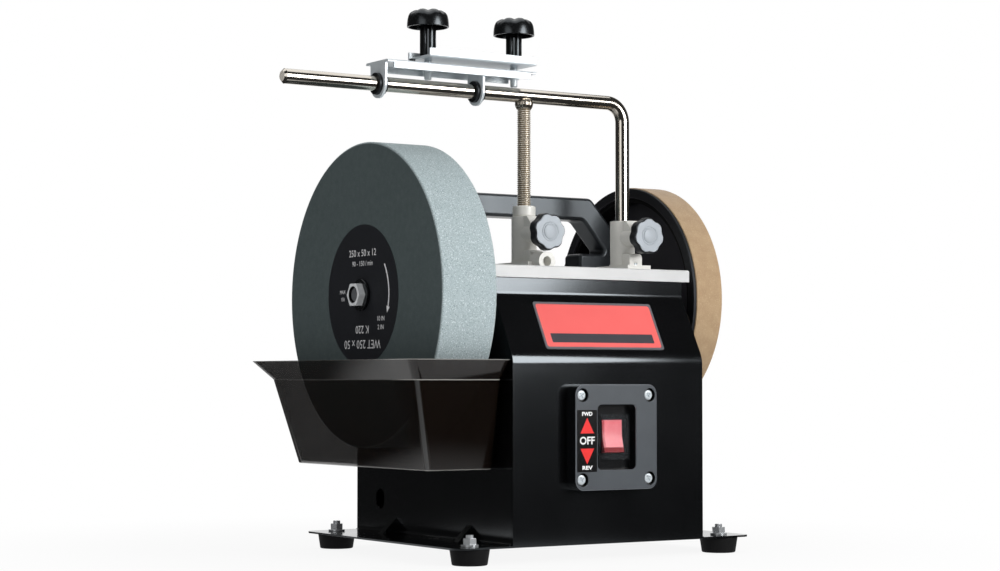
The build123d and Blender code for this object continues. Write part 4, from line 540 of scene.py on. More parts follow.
# Radius and height of each point, in millimetres
BEAD_OUTLINE = [(0, -1.5), (5.9, -1.5), (7.0, 0.5), (7.6, 2.5), (7.4, 5.0), (6.4, 7.0), (0, 7.0)]
BEAD_HEIGHT = 7 * MM
BEAD_CORE = 5.5 * MM
BEAD_MIDDLE = (0, 0, 3 * MM)
BEAD_RIPPLES = 18
RIPPLE_STEPS = 4
RIPPLE_REACH = 0.997
RIPPLE_SQUEEZE = (0.93, 0.93, 0.98)

leg_low, leg_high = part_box("threaded_leg")
leg_axis = (leg_low + leg_high) / 2


def thread_steel():
    """Plated thread, darker and browner in its valleys."""
    steel = Finish("thread_steel")
    crest = steel.rise(steel.from_axis(leg_axis, (1, 1, 0)), ROD_CORE + VALLEY_MARGIN, THREAD_RADIUS)
    cloud = steel.grain(4 * MM, 3)
    return steel.surface({
        "Base Color": steel.blend(crest, srgb(148, 132, 108), srgb(230, 224, 212)),
        "Metallic": 0.45,
        "Roughness": cloud * 0.15 + 0.22,
        "Normal": steel.bump(cloud, 0.01 * MM),
    })


def edge_chain(name, points):
    """A line of edges through points, drawn from one vertex."""
    bpy.ops.object.select_all(action="DESELECT")
    bpy.ops.mesh.primitive_plane_add(size=START_SPECK, location=points[0])
    chain = bpy.context.object
    chain.name = name
    bpy.ops.object.transform_apply(location=True)
    bpy.ops.object.mode_set(mode="EDIT")
    bpy.ops.mesh.select_mode(type="VERT")
    bpy.ops.mesh.select_all(action="SELECT")
    bpy.ops.mesh.merge(type="CENTER")
    for start, end in zip(points, points[1:]):
        step = Vector(end) - Vector(start)
        bpy.ops.mesh.extrude_vertices_move(TRANSFORM_OT_translate={"value": step})
    bpy.ops.object.mode_set(mode="OBJECT")
    return chain


def swept(chain, steps, **screw):
    """Sweeps a line of edges round the Z axis, or up it as a screw, and closes its seams."""
    only(chain)
    apply_modifier(
        "SCREW", steps=steps, render_steps=steps, use_merge_vertices=True, merge_threshold=TOUCH, **screw,
    )
    bpy.ops.object.mode_set(mode="EDIT")
    bpy.ops.mesh.select_all(action="SELECT")
    bpy.ops.mesh.remove_doubles(threshold=TOUCH)
    bpy.ops.mesh.normals_make_consistent(inside=False)
    bpy.ops.object.mode_set(mode="OBJECT")
    return chain


def turned(name, outline, steps=TURNED_STEPS):
    """A turned solid from the points of its half outline, each a radius and a height."""
    return swept(edge_chain(name, [(radius, 0, height) for radius, height in outline]), steps)


def joined(name, *pieces):
    """Several meshes as one piece."""
    only(pieces[0])
    for piece in pieces:
        piece.select_set(True)
    bpy.ops.object.join()
    bpy.context.object.name = name
    return bpy.context.object


thread_length = leg_high.z - BEAD_HEIGHT - leg_low.z
turns = int(thread_length / THREAD_PITCH)
ridge = edge_chain("thread", [
    (ROD_CORE, 0, 0),
    (ROD_CORE, 0, 0.15 * THREAD_PITCH),
    (THREAD_RADIUS, 0, 0.5 * THREAD_PITCH),
    (THREAD_RADIUS, 0, 0.65 * THREAD_PITCH),
    (ROD_CORE, 0, THREAD_PITCH),
])
thread = swept(ridge, THREAD_STEPS, iterations=turns, screw_offset=THREAD_PITCH)
rod = turned("rod", [
    (0, 0),
    (ROD_CORE - ROD_TIP, 0),
    (THREAD_RADIUS, LEAD_IN),
    (THREAD_RADIUS, 1.5 * LEAD_IN),
    (ROD_CORE - ROD_GAP, 2 * LEAD_IN),
    (ROD_CORE - ROD_GAP, thread_length),
    (0, thread_length),
])
threaded_leg = joined("screwed_leg", thread, rod)
only(threaded_leg)
bpy.ops.object.shade_smooth_by_angle(angle=THREAD_CORNER)
settle(threaded_leg, Matrix.Translation((leg_axis.x, leg_axis.y, leg_low.z)))
stand_for(threaded_leg, "threaded_leg", thread_steel())

bead_outline = [(radius * MM, height * MM) for radius, height in BEAD_OUTLINE]
bead = turned("weld_bead", bead_outline, BEAD_RIPPLES * RIPPLE_STEPS)
for ripple in range(BEAD_RIPPLES):
    middle_angle = 2 * pi * ripple / BEAD_RIPPLES
    ripple_side = Vector((cos(middle_angle), sin(middle_angle)))
    pick("VERT", lambda place: (
        place.xy.length > BEAD_CORE and place.xy.normalized().dot(ripple_side) > RIPPLE_REACH
    ))
    bpy.ops.transform.resize(value=RIPPLE_SQUEEZE, center_override=BEAD_MIDDLE)
    bpy.ops.object.mode_set(mode="OBJECT")
smooth_faces(bead)
settle(bead, Matrix.Translation((leg_axis.x, leg_axis.y, leg_high.z - BEAD_HEIGHT)))
weld_steel = plated_steel("weld_steel", srgb(150, 138, 122), srgb(222, 214, 202), 0.14)
fix_on(bead, "bar", weld_steel)

# Lock knobs
# Black moulded knobs with seven soft lobes and a satin grey cap, grooved round its domed middle.
# A stud runs from each through the sleeve's boss and presses on the leg.
KNOB_LOBES = 7
LOBE_STEPS = 14
LOBE_SHARPNESS = 1.6
KNOB_RADIUS = 15.5 * MM
KNOB_NOTCH = 1.4 * MM
KNOB_THICKNESS = 8 * MM
KNOB_ROUND = 1.3 * MM
KNOB_BACK_ROUND = 0.8 * MM
KNOB_TURNS = {"left_lock_knob": radians(19), "right_lock_knob": 0.0}
CAP_RADIUS = 14.2 * MM
CAP_NOTCH = 0.9 * KNOB_NOTCH
CAP_THICKNESS = 0.9 * MM
CAP_ROUND = 0.4 * MM
CAP_SINK = 0.3 * MM
CAP_PROUD = 1.5 * MM
BOSS_RADIUS = 6.6 * MM
# How far each point of the boss stands past its radius and over the cap, in millimetres
BOSS_OUTLINE = [
    (1.5, -0.9), (1.3, 0.3), (0.9, 0.3), (0.6, -0.7), (0, -0.7),
    (-0.2, 0.2), (-0.99, 0.7), (-3.3, 1.0), (-6.6, 1.1),
]
HUB_RADIUS = 7 * MM
HUB_LENGTH = 9 * MM
HUB_CHAMFER = 0.6 * MM
HUB_OVERLAP = 1 * MM
STUD_RADIUS = 3 * MM


def moulded(name, dark, light, roughness, depth=0.004, gloss=0.5):
    """Moulded plastic with a fine skin."""
    plastic = Finish(name)
    cloud = plastic.grain(16 * MM, 3)
    skin = plastic.grain(0.5 * MM, 2)
    return plastic.surface({
        "Base Color": plastic.blend(cloud, dark, light),
        "Roughness": cloud * 0.10 + roughness,
        "Specular IOR Level": gloss,
        "Specular Tint": COOL_GLOSS,
        "Normal": plastic.bump(skin, depth * MM),
    })


def scallop(lobes, height, depth, sink=0.0):
    """Draws in and sinks the active disc's rim at a height, between its lobes; one lobe is at the top."""
    count = lobes * LOBE_STEPS
    for step in range(1, LOBE_STEPS):
        def chosen(place):
            turn = round(atan2(-place.x, place.y) / (2 * pi) * count) % LOBE_STEPS
            return turn == step and abs(place.z - height) < TOUCH and place.xy.length > depth

        pick("VERT", chosen)
        reach = max(vertex.co.xy.length for vertex in bpy.context.object.data.vertices if vertex.select)
        share = ((1 - cos(2 * pi * step / LOBE_STEPS)) / 2) ** LOBE_SHARPNESS
        shrink = 1 - depth * share / reach
        bpy.ops.transform.resize(value=(shrink, shrink, 1), center_override=(0, 0, 0))
        bpy.ops.transform.translate(value=(0, 0, -sink * share))
        bpy.ops.object.mode_set(mode="OBJECT")


def plain_disc(name, radius, thickness, count):
    """A round disc from nought up the Z axis."""
    bpy.ops.object.select_all(action="DESELECT")
    bpy.ops.mesh.primitive_cylinder_add(
        vertices=count, radius=radius, depth=thickness, location=(0, 0, thickness / 2), end_fill_type="NGON",
    )
    bpy.ops.object.transform_apply(location=True, rotation=True, scale=True)
    bpy.context.object.name = name
    return bpy.context.object


def lobed_disc(name, radius, notch, lobes, thickness):
    """A disc from nought up the Z axis with soft lobes round its rim."""
    disc = plain_disc(name, radius, thickness, lobes * LOBE_STEPS)
    scallop(lobes, 0, notch)
    scallop(lobes, thickness, notch)
    return disc


def round_rim(height, width, steps=3):
    """Rounds the edges of the active piece that lie at a height."""
    pick("EDGE", lambda middle: abs(middle.z - height) < TOUCH)
    bpy.ops.mesh.bevel(offset=width, segments=steps, affect="EDGES")
    bpy.ops.object.mode_set(mode="OBJECT")


knob_black = moulded("knob_black", srgb(18, 18, 20), srgb(28, 28, 31), 0.3)
cap_grey = moulded("cap_grey", srgb(160, 166, 172), srgb(178, 184, 190), 0.34, 0.008)
head_thickness = KNOB_THICKNESS - CAP_SINK
for node, knob_turn in KNOB_TURNS.items():
    knob_low, knob_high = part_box(node)
    knob_middle = (knob_low + knob_high) / 2
    back_y = knob_low.y + CAP_PROUD + KNOB_THICKNESS
    knob_spot = (knob_middle.x, back_y, knob_low.z + KNOB_RADIUS)
    knob_place = facing((1, 0, 0), (0, 0, 1), knob_spot) @ Matrix.Rotation(knob_turn, 4, "Z")
    head = lobed_disc(f"{node}_head", KNOB_RADIUS, KNOB_NOTCH, KNOB_LOBES, head_thickness)
    round_rim(head_thickness, KNOB_ROUND)
    round_rim(0, KNOB_BACK_ROUND)
    stud = turned(f"{node}_stud", [
        (0, back_y - knob_high.y),
        (STUD_RADIUS, back_y - knob_high.y),
        (STUD_RADIUS, -HUB_LENGTH),
        (HUB_RADIUS - HUB_CHAMFER, -HUB_LENGTH),
        (HUB_RADIUS, HUB_CHAMFER - HUB_LENGTH),
        (HUB_RADIUS, HUB_OVERLAP),
        (0, HUB_OVERLAP),
    ])
    body = joined(f"{node}_body", head, stud)
    smooth_faces(body)
    settle(body, knob_place)
    stand_for(body, node, knob_black)
    cap = lobed_disc(f"{node}_cap_disc", CAP_RADIUS, CAP_NOTCH, KNOB_LOBES, CAP_THICKNESS)
    round_rim(CAP_THICKNESS, CAP_ROUND)
    boss = turned(f"{node}_cap_boss", [
        (0, 0),
        *[(BOSS_RADIUS + past * MM, CAP_THICKNESS + over * MM) for past, over in BOSS_OUTLINE],
    ])
    cap = joined(f"{node}_cap", cap, boss)
    smooth_faces(cap)
    settle(cap, knob_place @ Matrix.Translation((0, 0, head_thickness)))
    fix_on(cap, nodes[node]["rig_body"], cap_grey)

# Carry handle
# Moulded arch of glass-filled nylon with sloped shoulders and rounded edges.
# Its two block feet are screwed on the top plate from below.
HANDLE_EDGE = 0.8 * MM
handle_nylon = moulded("handle_nylon", srgb(24, 26, 29), srgb(33, 35, 39), 0.26, 0.008, 1.0)
dress(handle_nylon, HANDLE_EDGE, "carry_handle", steps=3)

# Square edge jig
# Folded steel, zinc plated: a base whose two ears hang on the bar by black nylon bushes.
# A clamp bar lies on it, and two screws through both press it down on the tool.
JIG_EDGE = 0.4 * MM
BUSH_EDGE = 0.3 * MM
dress(bright_zinc, JIG_EDGE, "jig_base", "jig_clamp_bar")
bush_nylon = moulded("bush_nylon", srgb(16, 16, 18), srgb(26, 26, 28), 0.38)
dress(bush_nylon, BUSH_EDGE, "jig_bushes", "jig_stop_pin")
coat(bright_zinc, "jig_screw_left", "jig_screw_right")

# Clamp knobs
# Gloss black mushroom knobs: plain and hollow below, with six scallops that deepen towards the dished top.
# Six ribs run down the stem of each, and the bright screw shows between them.
DOME_LOBES = 6
# Height, radius and scallop depth of each ring, in millimetres
DOME_RINGS = [
    (3.4, 17.1, 0.0), (6.5, 16.75, 0.2), (9.0, 16.2, 0.5), (10.8, 15.4, 0.9), (12.2, 14.2, 1.3),
    (13.2, 12.6, 1.6), (13.95, 11.0, 1.6), (14.2, 9.6, 1.3), (13.8, 8.0, 0.6), (13.4, 5.0, 0.0),
]
DOME_SINK = 0.75
DOME_BASE = 1.0 * MM
DOME_RADIUS = 17.2 * MM
DOME_WALL = 1.5 * MM
DOME_HOLLOW = 6 * MM
DOME_EDGE = 0.35 * MM
DOME_CORNER = radians(50)
DOME_MIDDLE = 1 * MM
STEM_LENGTH = 25.3 * MM
STEM_RADIUS = 6.6 * MM
RIB_COUNT = 6
RIB_WIDTH = 2.7 * MM
RIB_INNER = 3.1 * MM
RIB_CORNER = 0.8 * MM

knob_gloss = moulded("knob_gloss", srgb(9, 9, 10), srgb(15, 15, 16), 0.2, 0.002, 0.8)
for side in ("left", "right"):
    node = f"jig_knob_{side}"
    stem_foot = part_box(node)[0].z
    screw_low, screw_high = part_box(f"jig_screw_{side}")
    knob_axis = (screw_low + screw_high) / 2
    dome = plain_disc(f"{node}_dome", DOME_RADIUS, DOME_BASE, DOME_LOBES * LOBE_STEPS)
    ring_height, ring_radius = DOME_BASE, DOME_RADIUS
    for height, radius, notch in DOME_RINGS:
        pick("FACE", lambda middle: middle.z > ring_height - TOUCH and middle.xy.length < DOME_MIDDLE)
        step = (0, 0, height * MM - ring_height)
        bpy.ops.mesh.extrude_region_move(TRANSFORM_OT_translate={"value": step})
        share = radius * MM / ring_radius
        bpy.ops.transform.resize(value=(share, share, 1), center_override=(0, 0, 0))
        bpy.ops.object.mode_set(mode="OBJECT")
        ring_height, ring_radius = height * MM, radius * MM
    for height, radius, notch in DOME_RINGS:
        if notch:
            scallop(DOME_LOBES, height * MM, notch * MM, notch * DOME_SINK * MM)
    pick("FACE", lambda middle: middle.z < TOUCH)
    bpy.ops.mesh.inset(thickness=DOME_WALL)
    bpy.ops.mesh.extrude_region_move(TRANSFORM_OT_translate={"value": (0, 0, DOME_HOLLOW)})
    bpy.ops.object.mode_set(mode="OBJECT")
    only(dome)
    break_edges(DOME_EDGE, DOME_CORNER)
    settle(dome, Matrix.Translation((0, 0, STEM_LENGTH)))
    ribs = []
    rib_size = (STEM_RADIUS - RIB_INNER, RIB_WIDTH, STEM_LENGTH + DOME_HOLLOW)
    for rib in range(RIB_COUNT):
        blade = plate_block(f"{node}_rib", *rib_size, RIB_CORNER)
        outward = Matrix.Rotation(2 * pi * (rib + 0.5) / RIB_COUNT, 4, "Z")
        settle(blade, outward @ Matrix.Translation(((STEM_RADIUS + RIB_INNER) / 2, 0, 0)))
        ribs.append(blade)
    knob = joined(f"{node}_mushroom", dome, *ribs)
    smooth_faces(knob)
    settle(knob, Matrix.Translation((knob_axis.x, knob_axis.y, stem_foot)))
    stand_for(knob, node, knob_gloss)

# Grinding stone
# Wheel of bonded aluminium oxide grit, pressed and fired.
# Its cheeks are smooth and dark from the mould, and its rim is dressed to a pale sparkle.
STONE_EDGE = 0.4 * MM
DRESSED_DEPTH = 2.0 * MM
DRESSED_EDGE = 0.2 * MM
ACROSS_AXLE = (0, 1, 1)
stone_low, stone_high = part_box("grinding_stone")
stone_middle = (stone_low + stone_high) / 2
stone_radius = (stone_high.z - stone_low.z) / 2


def stone_grit():
    """Grit in a blue-grey bond, paler where the rim is dressed."""
    grit = Finish("stone_grit")
    reach = grit.from_axis(stone_middle, ACROSS_AXLE)
    rim = grit.rise(reach, stone_radius - DRESSED_DEPTH, stone_radius - DRESSED_EDGE)
    fine = grit.grain(0.7 * MM, 3)
    coarse = grit.grain(5 * MM, 4)
    sparkle = grit.rise(grit.grain(0.7 * MM, 1), 0.58, 0.70)
    pits = grit.rise(grit.grain(0.8 * MM, 1), 0.58, 0.70)
    cheek = grit.blend(coarse, srgb(72, 83, 84), srgb(86, 97, 98))
    dressed = grit.blend(fine, srgb(148, 164, 168), srgb(190, 203, 205))
    bonded = grit.blend(rim, cheek, dressed)
    pitted = grit.blend(pits * rim, bonded, srgb(124, 138, 142))
    return grit.surface({
        "Base Color": grit.blend(sparkle * rim, pitted, srgb(222, 231, 233)),
        "Roughness": 0.9 - sparkle * 0.3,
        "Specular IOR Level": 0.3,
        "Normal": grit.bump(fine + coarse * 0.5, 0.12 * MM),
    })


dress(stone_grit(), STONE_EDGE, "grinding_stone")

# Stone label
# Round paper label glued on the stone's outer cheek.
# It is printed black, with white size numbers and an arrow for the way that the stone turns.


def printed(name, dark, light, roughness=0.5):
    """Ink on paper, or on a glossy film."""
    ink = Finish(name)
    fibre = ink.grain(1.2 * MM, 3)
    return ink.surface({
        "Base Color": ink.blend(fibre, dark, light),
        "Roughness": fibre * 0.15 + roughness,
        "Normal": ink.bump(fibre, 0.01 * MM),
    })


# Words, height of the letters, place and turn of each line
LABEL_MARKS = [
    ("250 x 50 x 12", 5.6 * MM, (0, 34 * MM), 0),
    ("90 - 150 / min", 4.2 * MM, (0, 25.5 * MM), 0),
    ("MAX", 3.0 * MM, (-33 * MM, 3 * MM), 0),
    ("150", 3.0 * MM, (-33 * MM, -3 * MM), 0),
    ("10 IN", 3.8 * MM, (30 * MM, -20 * MM), 0),
    ("2 IN", 3.8 * MM, (30 * MM, -27 * MM), 0),
    ("K 220", 6.4 * MM, (0, -28 * MM), pi),
    ("WET 250 x 50", 7.0 * MM, (0, -40 * MM), pi),
]
MARK_DEPTH = 0.05 * MM
ARROW_RADIUS = 43 * MM
ARROW_WIDTH = 1.6 * MM
ARROW_START = radians(34)
ARROW_END = radians(-14)
ARROW_HEAD = radians(7)
ARROW_BARB = 1.6 * ARROW_WIDTH
ARROW_STEPS = 16
LETTER_STEPS = 3

label_low, label_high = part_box("stone_label")
label_middle = (label_low + label_high) / 2
label_face = facing((0, -1, 0), (0, 0, 1), (label_low.x, label_middle.y, label_middle.z))
coat(printed("label_black", srgb(31, 33, 39), srgb(38, 40, 46)), "stone_label")


def lettering(body, height, width=None, weight=0.0):
    """Raised letters round the origin of the XY plane, of a height, a width and a weight."""
    bpy.ops.object.select_all(action="DESELECT")
    bpy.ops.object.text_add()
    text = bpy.context.object
    text.data.body = body
    text.data.size = height
    text.data.extrude = MARK_DEPTH
    text.data.offset = weight
    text.data.resolution_u = LETTER_STEPS
    text.data.align_x = "CENTER"
    text.data.align_y = "CENTER"
    bpy.ops.object.convert(target="MESH")
    letters = bpy.context.object
    tall = height / letters.dimensions.y
    wide = width / letters.dimensions.x if width else tall
    settle(letters, Matrix.Diagonal((wide, tall, 1, 1)))
    return letters


def flat_shape(name, points):
    """Thin printed shape on the XY plane inside an outline."""
    shape = edge_chain(name, [(*point, 0) for point in (*points, points[0])])
    bpy.ops.object.mode_set(mode="EDIT")
    bpy.ops.mesh.select_all(action="SELECT")
    bpy.ops.mesh.remove_doubles(threshold=TOUCH)
    bpy.ops.mesh.edge_face_add()
    bpy.ops.mesh.extrude_region_move(TRANSFORM_OT_translate={"value": (0, 0, MARK_DEPTH)})
    bpy.ops.mesh.select_all(action="SELECT")
    bpy.ops.mesh.normals_make_consistent(inside=False)
    bpy.ops.object.mode_set(mode="OBJECT")
    return shape


def on_circle(radius, angle):
    """Point of a circle round the origin."""
    return (radius * cos(angle), radius * sin(angle))


marks = []
for body, height, spot, turn in LABEL_MARKS:
    mark = lettering(body, height)
    settle(mark, Matrix.Translation((*spot, 0)) @ Matrix.Rotation(turn, 4, "Z"))
    marks.append(mark)
arrow_step = (ARROW_END - ARROW_START) / ARROW_STEPS
arrow_angles = [ARROW_START + arrow_step * step for step in range(ARROW_STEPS + 1)]
marks.append(flat_shape("label_arrow", [
    *[on_circle(ARROW_RADIUS + ARROW_WIDTH / 2, angle) for angle in arrow_angles],
    on_circle(ARROW_RADIUS + ARROW_BARB, ARROW_END),
    on_circle(ARROW_RADIUS, ARROW_END - ARROW_HEAD),
    on_circle(ARROW_RADIUS - ARROW_BARB, ARROW_END),
    *[on_circle(ARROW_RADIUS - ARROW_WIDTH / 2, angle) for angle in reversed(arrow_angles)],
]))
label_marks = joined("stone_label_marks", *marks)
settle(label_marks, label_face)
label_white = printed("label_white", srgb(222, 222, 224), srgb(240, 240, 242))
fix_on(label_marks, "axle", label_white)

# Flange, collar and nut of the stone
# A turned steel flange behind the stone and a black collar in front of it clamp it on the axle.
# A self-locking nut with a nylon ring in its face holds them.
FLANGE_EDGE = 0.4 * MM
COLLAR_EDGE = 0.6 * MM
STONE_NUT_EDGE = 0.6 * MM
RING_INNER = 5.4 * MM
RING_OUTER = 6.7 * MM
RING_FADE = 0.3 * MM
dress(bright_zinc, FLANGE_EDGE, "stone_flange")
dress(knob_gloss, COLLAR_EDGE, "stone_collar", steps=3)


def lock_nut():
    """Bright plated nut with a black nylon ring set in its face."""
    nut = Finish("lock_nut")
    reach = nut.from_axis(stone_middle, ACROSS_AXLE)
    outside = nut.rise(reach, RING_OUTER, RING_OUTER + RING_FADE)
    ring = nut.rise(reach, RING_INNER, RING_INNER + RING_FADE) * (1 - outside)
    cloud = nut.grain(3 * MM, 3)
    bright = nut.blend(cloud, srgb(222, 225, 228), srgb(246, 248, 250))
    return nut.surface({
        "Base Color": nut.blend(ring, bright, srgb(14, 14, 15)),
        "Metallic": 0.1,
        "Roughness": cloud * 0.1 + 0.15,
        "Normal": nut.bump(cloud, 0.01 * MM),
    })


dress(lock_nut(), STONE_NUT_EDGE, "stone_nut", steps=3)

# Honing wheel
# Black moulded drum, held on the axle end by a nut.
# It is open towards the housing, and a rubber ring inside its rim meets the motor spindle.
DRUM_EDGE = 0.5 * MM
HONING_NUT_EDGE = 0.5 * MM
RING_EDGE = 0.4 * MM
HOLLOW_RADIUS = 91.2 * MM
HOLLOW_FADE = 0.5 * MM
DRUM_WEB = 5.0 * MM
WEB_FADE = 1 * MM
web_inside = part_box("honing_drum")[1].x - DRUM_WEB


def drum_plastic():
    """Black moulded plastic, painted grey inside the hollow as painted light that lifts its shade."""
    plastic = Finish("drum_plastic")
    cloud = plastic.grain(16 * MM, 3)
    reach = plastic.from_axis(stone_middle, ACROSS_AXLE)
    rim = plastic.rise(reach, HOLLOW_RADIUS, HOLLOW_RADIUS + HOLLOW_FADE)
    outside = plastic.rise(plastic.along((1, 0, 0)), web_inside + WEB_FADE, web_inside + 2 * WEB_FADE)
    # Painted light: the inside of the hollow is painted grey to lift its shade.
    hollow_painted_light = (1 - outside) * (1 - rim)
    black = plastic.blend(cloud, srgb(18, 17, 20), srgb(24, 23, 27))
    return plastic.surface({
        "Base Color": plastic.blend(hollow_painted_light, black, srgb(58, 56, 61)),
        "Roughness": cloud * 0.1 + 0.5,
        "Specular Tint": COOL_GLOSS,
        "Normal": plastic.bump(plastic.grain(0.5 * MM, 2), 0.006 * MM),
    })


dress(drum_plastic(), DRUM_EDGE, "honing_drum")
dress(bright_zinc, HONING_NUT_EDGE, "honing_nut")
dress(foot_rubber, RING_EDGE, "friction_ring")

# Leather band
# Strip of cowhide glued round the drum, flesh side out.
# The ground edge is honed on it.
LEATHER_EDGE = 0.9 * MM


def leather():
    """Cowhide, flesh side out: mottled tan with loose fibres."""
    hide = Finish("honing_leather")
    mottle = hide.grain(9 * MM, 5)
    fibre = hide.grain(0.9 * MM, 4)
    cloud = hide.rise(mottle, 0.32, 0.68)
    tan = hide.blend(cloud, srgb(165, 137, 104), srgb(174, 147, 113))
    return hide.surface({
        "Base Color": hide.blend(hide.rise(fibre, 0.5, 0.8), tan, srgb(192, 168, 136)),
        "Roughness": fibre * 0.15 + 0.78,
        "Sheen Weight": 0.25,
        "Normal": hide.bump(fibre + mottle * 0.6, 0.25 * MM),
    })


dress(leather(), LEATHER_EDGE, "leather_band", steps=3)

# Water trough and its hanger
# Tapered box of smoked see-through plastic, injection moulded with a flared lip on three sides.
# Its hook edge hangs on a plate on the left side panel.
TROUGH_EDGE = 0.5 * MM
TROUGH_FOLD = radians(20)
TROUGH_LIP = 15.7 * MM
TROUGH_DROP = 71.0 * MM
SIDE_FLARE = 18.5 * MM
END_FLARE = 14.0 * MM
CORNER_TAPER = 0.018
CORNER_LEAN = (SIDE_FLARE + END_FLARE) / TROUGH_DROP - CORNER_TAPER
CORNER_START = -212.85 * MM
CORNER_HIGHLIGHT = (2.6 * MM, 3.2 * MM)
CORNER_HIGHLIGHT_BEND = (3.8 * MM, 4.4 * MM)
FRONT_WALL = (25 * MM, 60 * MM)
EDGE_HIGHLIGHT = 0.4 * MM

trough_low, trough_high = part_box("water_trough")


def smoked_plastic():
    """Dark brown see-through plastic, made denser in front as painted shade, with painted highlights along
    its lip, crease, corner and foot.
    """
    smoke = Finish("smoked_plastic")
    cloud = smoke.grain(40 * MM, 3)
    height = smoke.along((0, 0, 1))
    depth = smoke.along((0, 1, 0))
    off_middle = abs(depth - (trough_low.y + trough_high.y) / 2)
    corner_start = CORNER_START + CORNER_LEAN * trough_low.z
    spread = smoke.along((1, 0, CORNER_LEAN)) - off_middle - corner_start
    crease_z = trough_high.z - TROUGH_LIP
    # Painted highlights: pale lines along the lip, the crease and the foot, and a pale, more opaque line
    # down the front corner.
    lip_highlight = smoke.rise(height, trough_high.z - 2 * EDGE_HIGHLIGHT, trough_high.z - EDGE_HIGHLIGHT)
    foot = 1 - smoke.rise(height, trough_low.z + 1.5 * EDGE_HIGHLIGHT, trough_low.z + 2.5 * EDGE_HIGHLIGHT)
    below = 1 - smoke.rise(height, crease_z, crease_z + EDGE_HIGHLIGHT)
    crease_highlight = below * smoke.rise(height, crease_z - 2 * EDGE_HIGHLIGHT, crease_z - EDGE_HIGHLIGHT)
    corner = below * (1 - smoke.rise(spread, *CORNER_HIGHLIGHT))
    corner_highlight_opacity = below * (1 - smoke.rise(spread, *CORNER_HIGHLIGHT_BEND))
    # Painted shade: the front wall is made denser, and the painted highlights along its lip and crease are
    # stronger there.
    front = 1 - smoke.rise(depth - trough_low.y, *FRONT_WALL)
    edge = foot + (lip_highlight + crease_highlight) * (front * 0.75 + 0.25)
    wall = smoke.blend(cloud, srgb(14, 9, 6), srgb(21, 14, 10))
    wall_with_corner_highlight = smoke.blend(corner, wall, srgb(70, 70, 70))
    return smoke.surface({
        "Base Color": smoke.blend(edge, wall_with_corner_highlight, srgb(150, 149, 145)),
        "Roughness": cloud * 0.05 + 0.06,
        "Alpha": 0.64 + front * 0.2 + edge * 0.1 + corner_highlight_opacity * 0.3,
        "Normal": smoke.bump(smoke.grain(14 * MM, 2), 0.02 * MM),
    })


coat(housing_paint, "trough_hanger")
dress(smoked_plastic(), TROUGH_EDGE, "water_trough", corner=TROUGH_FOLD, steps=3)

# Switch box and body
# Black moulded box on the front panel, with a recess for the rocker and pockets for its screws.
# The switch body sits in the recess and reaches through the panel.
BOX_EDGE = 0.9 * MM
BODY_EDGE = 0.4 * MM
FACE_RIM_HIGHLIGHT = (0.1 * MM, 0.3 * MM)
FACE_END = (0.7 * MM, 1.2 * MM)
box_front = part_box("switch_box")[0].y


def box_plastic():
    """Black plastic, rougher on its textured face, which is painted grey as a painted reflection, with a
    painted highlight along the rims of the face.
    """
    plastic = Finish("switch_box_plastic")
    depth = plastic.along((0, 1, 0)) - box_front
    cloud = plastic.grain(16 * MM, 3)
    skin = plastic.grain(0.5 * MM, 2)
    # A painted reflection greys the face and a painted highlight lines its rims; the sides keep the
    # plastic's black.
    side = plastic.rise(depth, *FACE_END)
    rim = plastic.rise(depth, *FACE_RIM_HIGHLIGHT) * (1 - side)
    face = plastic.blend(cloud, srgb(60, 65, 71), srgb(71, 77, 83))
    face_reflection_black_sides = plastic.blend(side, face, srgb(15, 16, 18))
    return plastic.surface({
        "Base Color": plastic.blend(rim, face_reflection_black_sides, srgb(128, 132, 138)),
        "Roughness": cloud * 0.1 + 0.4 - side * 0.26,
        "Normal": plastic.bump(skin, 0.03 * MM),
    })


dress(box_plastic(), BOX_EDGE, "switch_box", steps=3)
switch_black = moulded("switch_black", srgb(14, 14, 15), srgb(24, 24, 26), 0.14)
dress(switch_black, BODY_EDGE, "switch_body")

# Switch screws
# Four bright steel screws with cross-cut heads, sunk in pockets at the box's corners.
# They hold the box on the front panel.
HEAD_EDGE = 0.7 * MM
HEAD_RADIUS = 4 * MM
CROSS_WIDTH = 4.6 * MM
CROSS_DEPTH = 1.2 * MM
CROSS_SLOT = 0.22 * CROSS_WIDTH
CROSS_SLANT = 0.6


def cross_cut(piece, place):
    """Cuts a cross recess into a screw head; the place's Z axis points out of the head."""
    for turn in (0, pi / 2):
        bpy.ops.object.select_all(action="DESELECT")
        bpy.ops.mesh.primitive_cube_add(size=1)
        blade = bpy.context.object
        blade_size = Matrix.Diagonal((CROSS_WIDTH, CROSS_SLOT, 2 * CROSS_DEPTH, 1))
        blade.matrix_world = place @ Matrix.Rotation(turn, 4, "Z") @ blade_size
        only(piece)
        apply_modifier("BOOLEAN", operation="DIFFERENCE", object=blade, solver="EXACT")
        bpy.data.objects.remove(blade)


screws_low, screws_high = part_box("switch_screws")
screw_heads = softened("switch_screws", HEAD_EDGE, steps=3)
for x in (screws_low.x + HEAD_RADIUS, screws_high.x - HEAD_RADIUS):
    for z in (screws_low.z + HEAD_RADIUS, screws_high.z - HEAD_RADIUS):
        cross_cut(screw_heads, facing((1, 0, CROSS_SLANT), (-CROSS_SLANT, 0, 1), (x, screws_low.y, z)))
stand_for(screw_heads, "switch_screws", bright_zinc)

# Rocker
# Dished key of bright red moulded plastic, pressed in at its top.
# It tilts on two pins in the switch body.
ROCKER_EDGE = 0.5 * MM
ROCKER_PIN_REACH = 1.1 * MM
SHADED_FOOT = (4.2 * MM, 5.0 * MM)
SHADED_SIDE = (1.6 * MM, 2.2 * MM)
rocker_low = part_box("switch_rocker")[0]
rocker_left = rocker_low.x + ROCKER_PIN_REACH


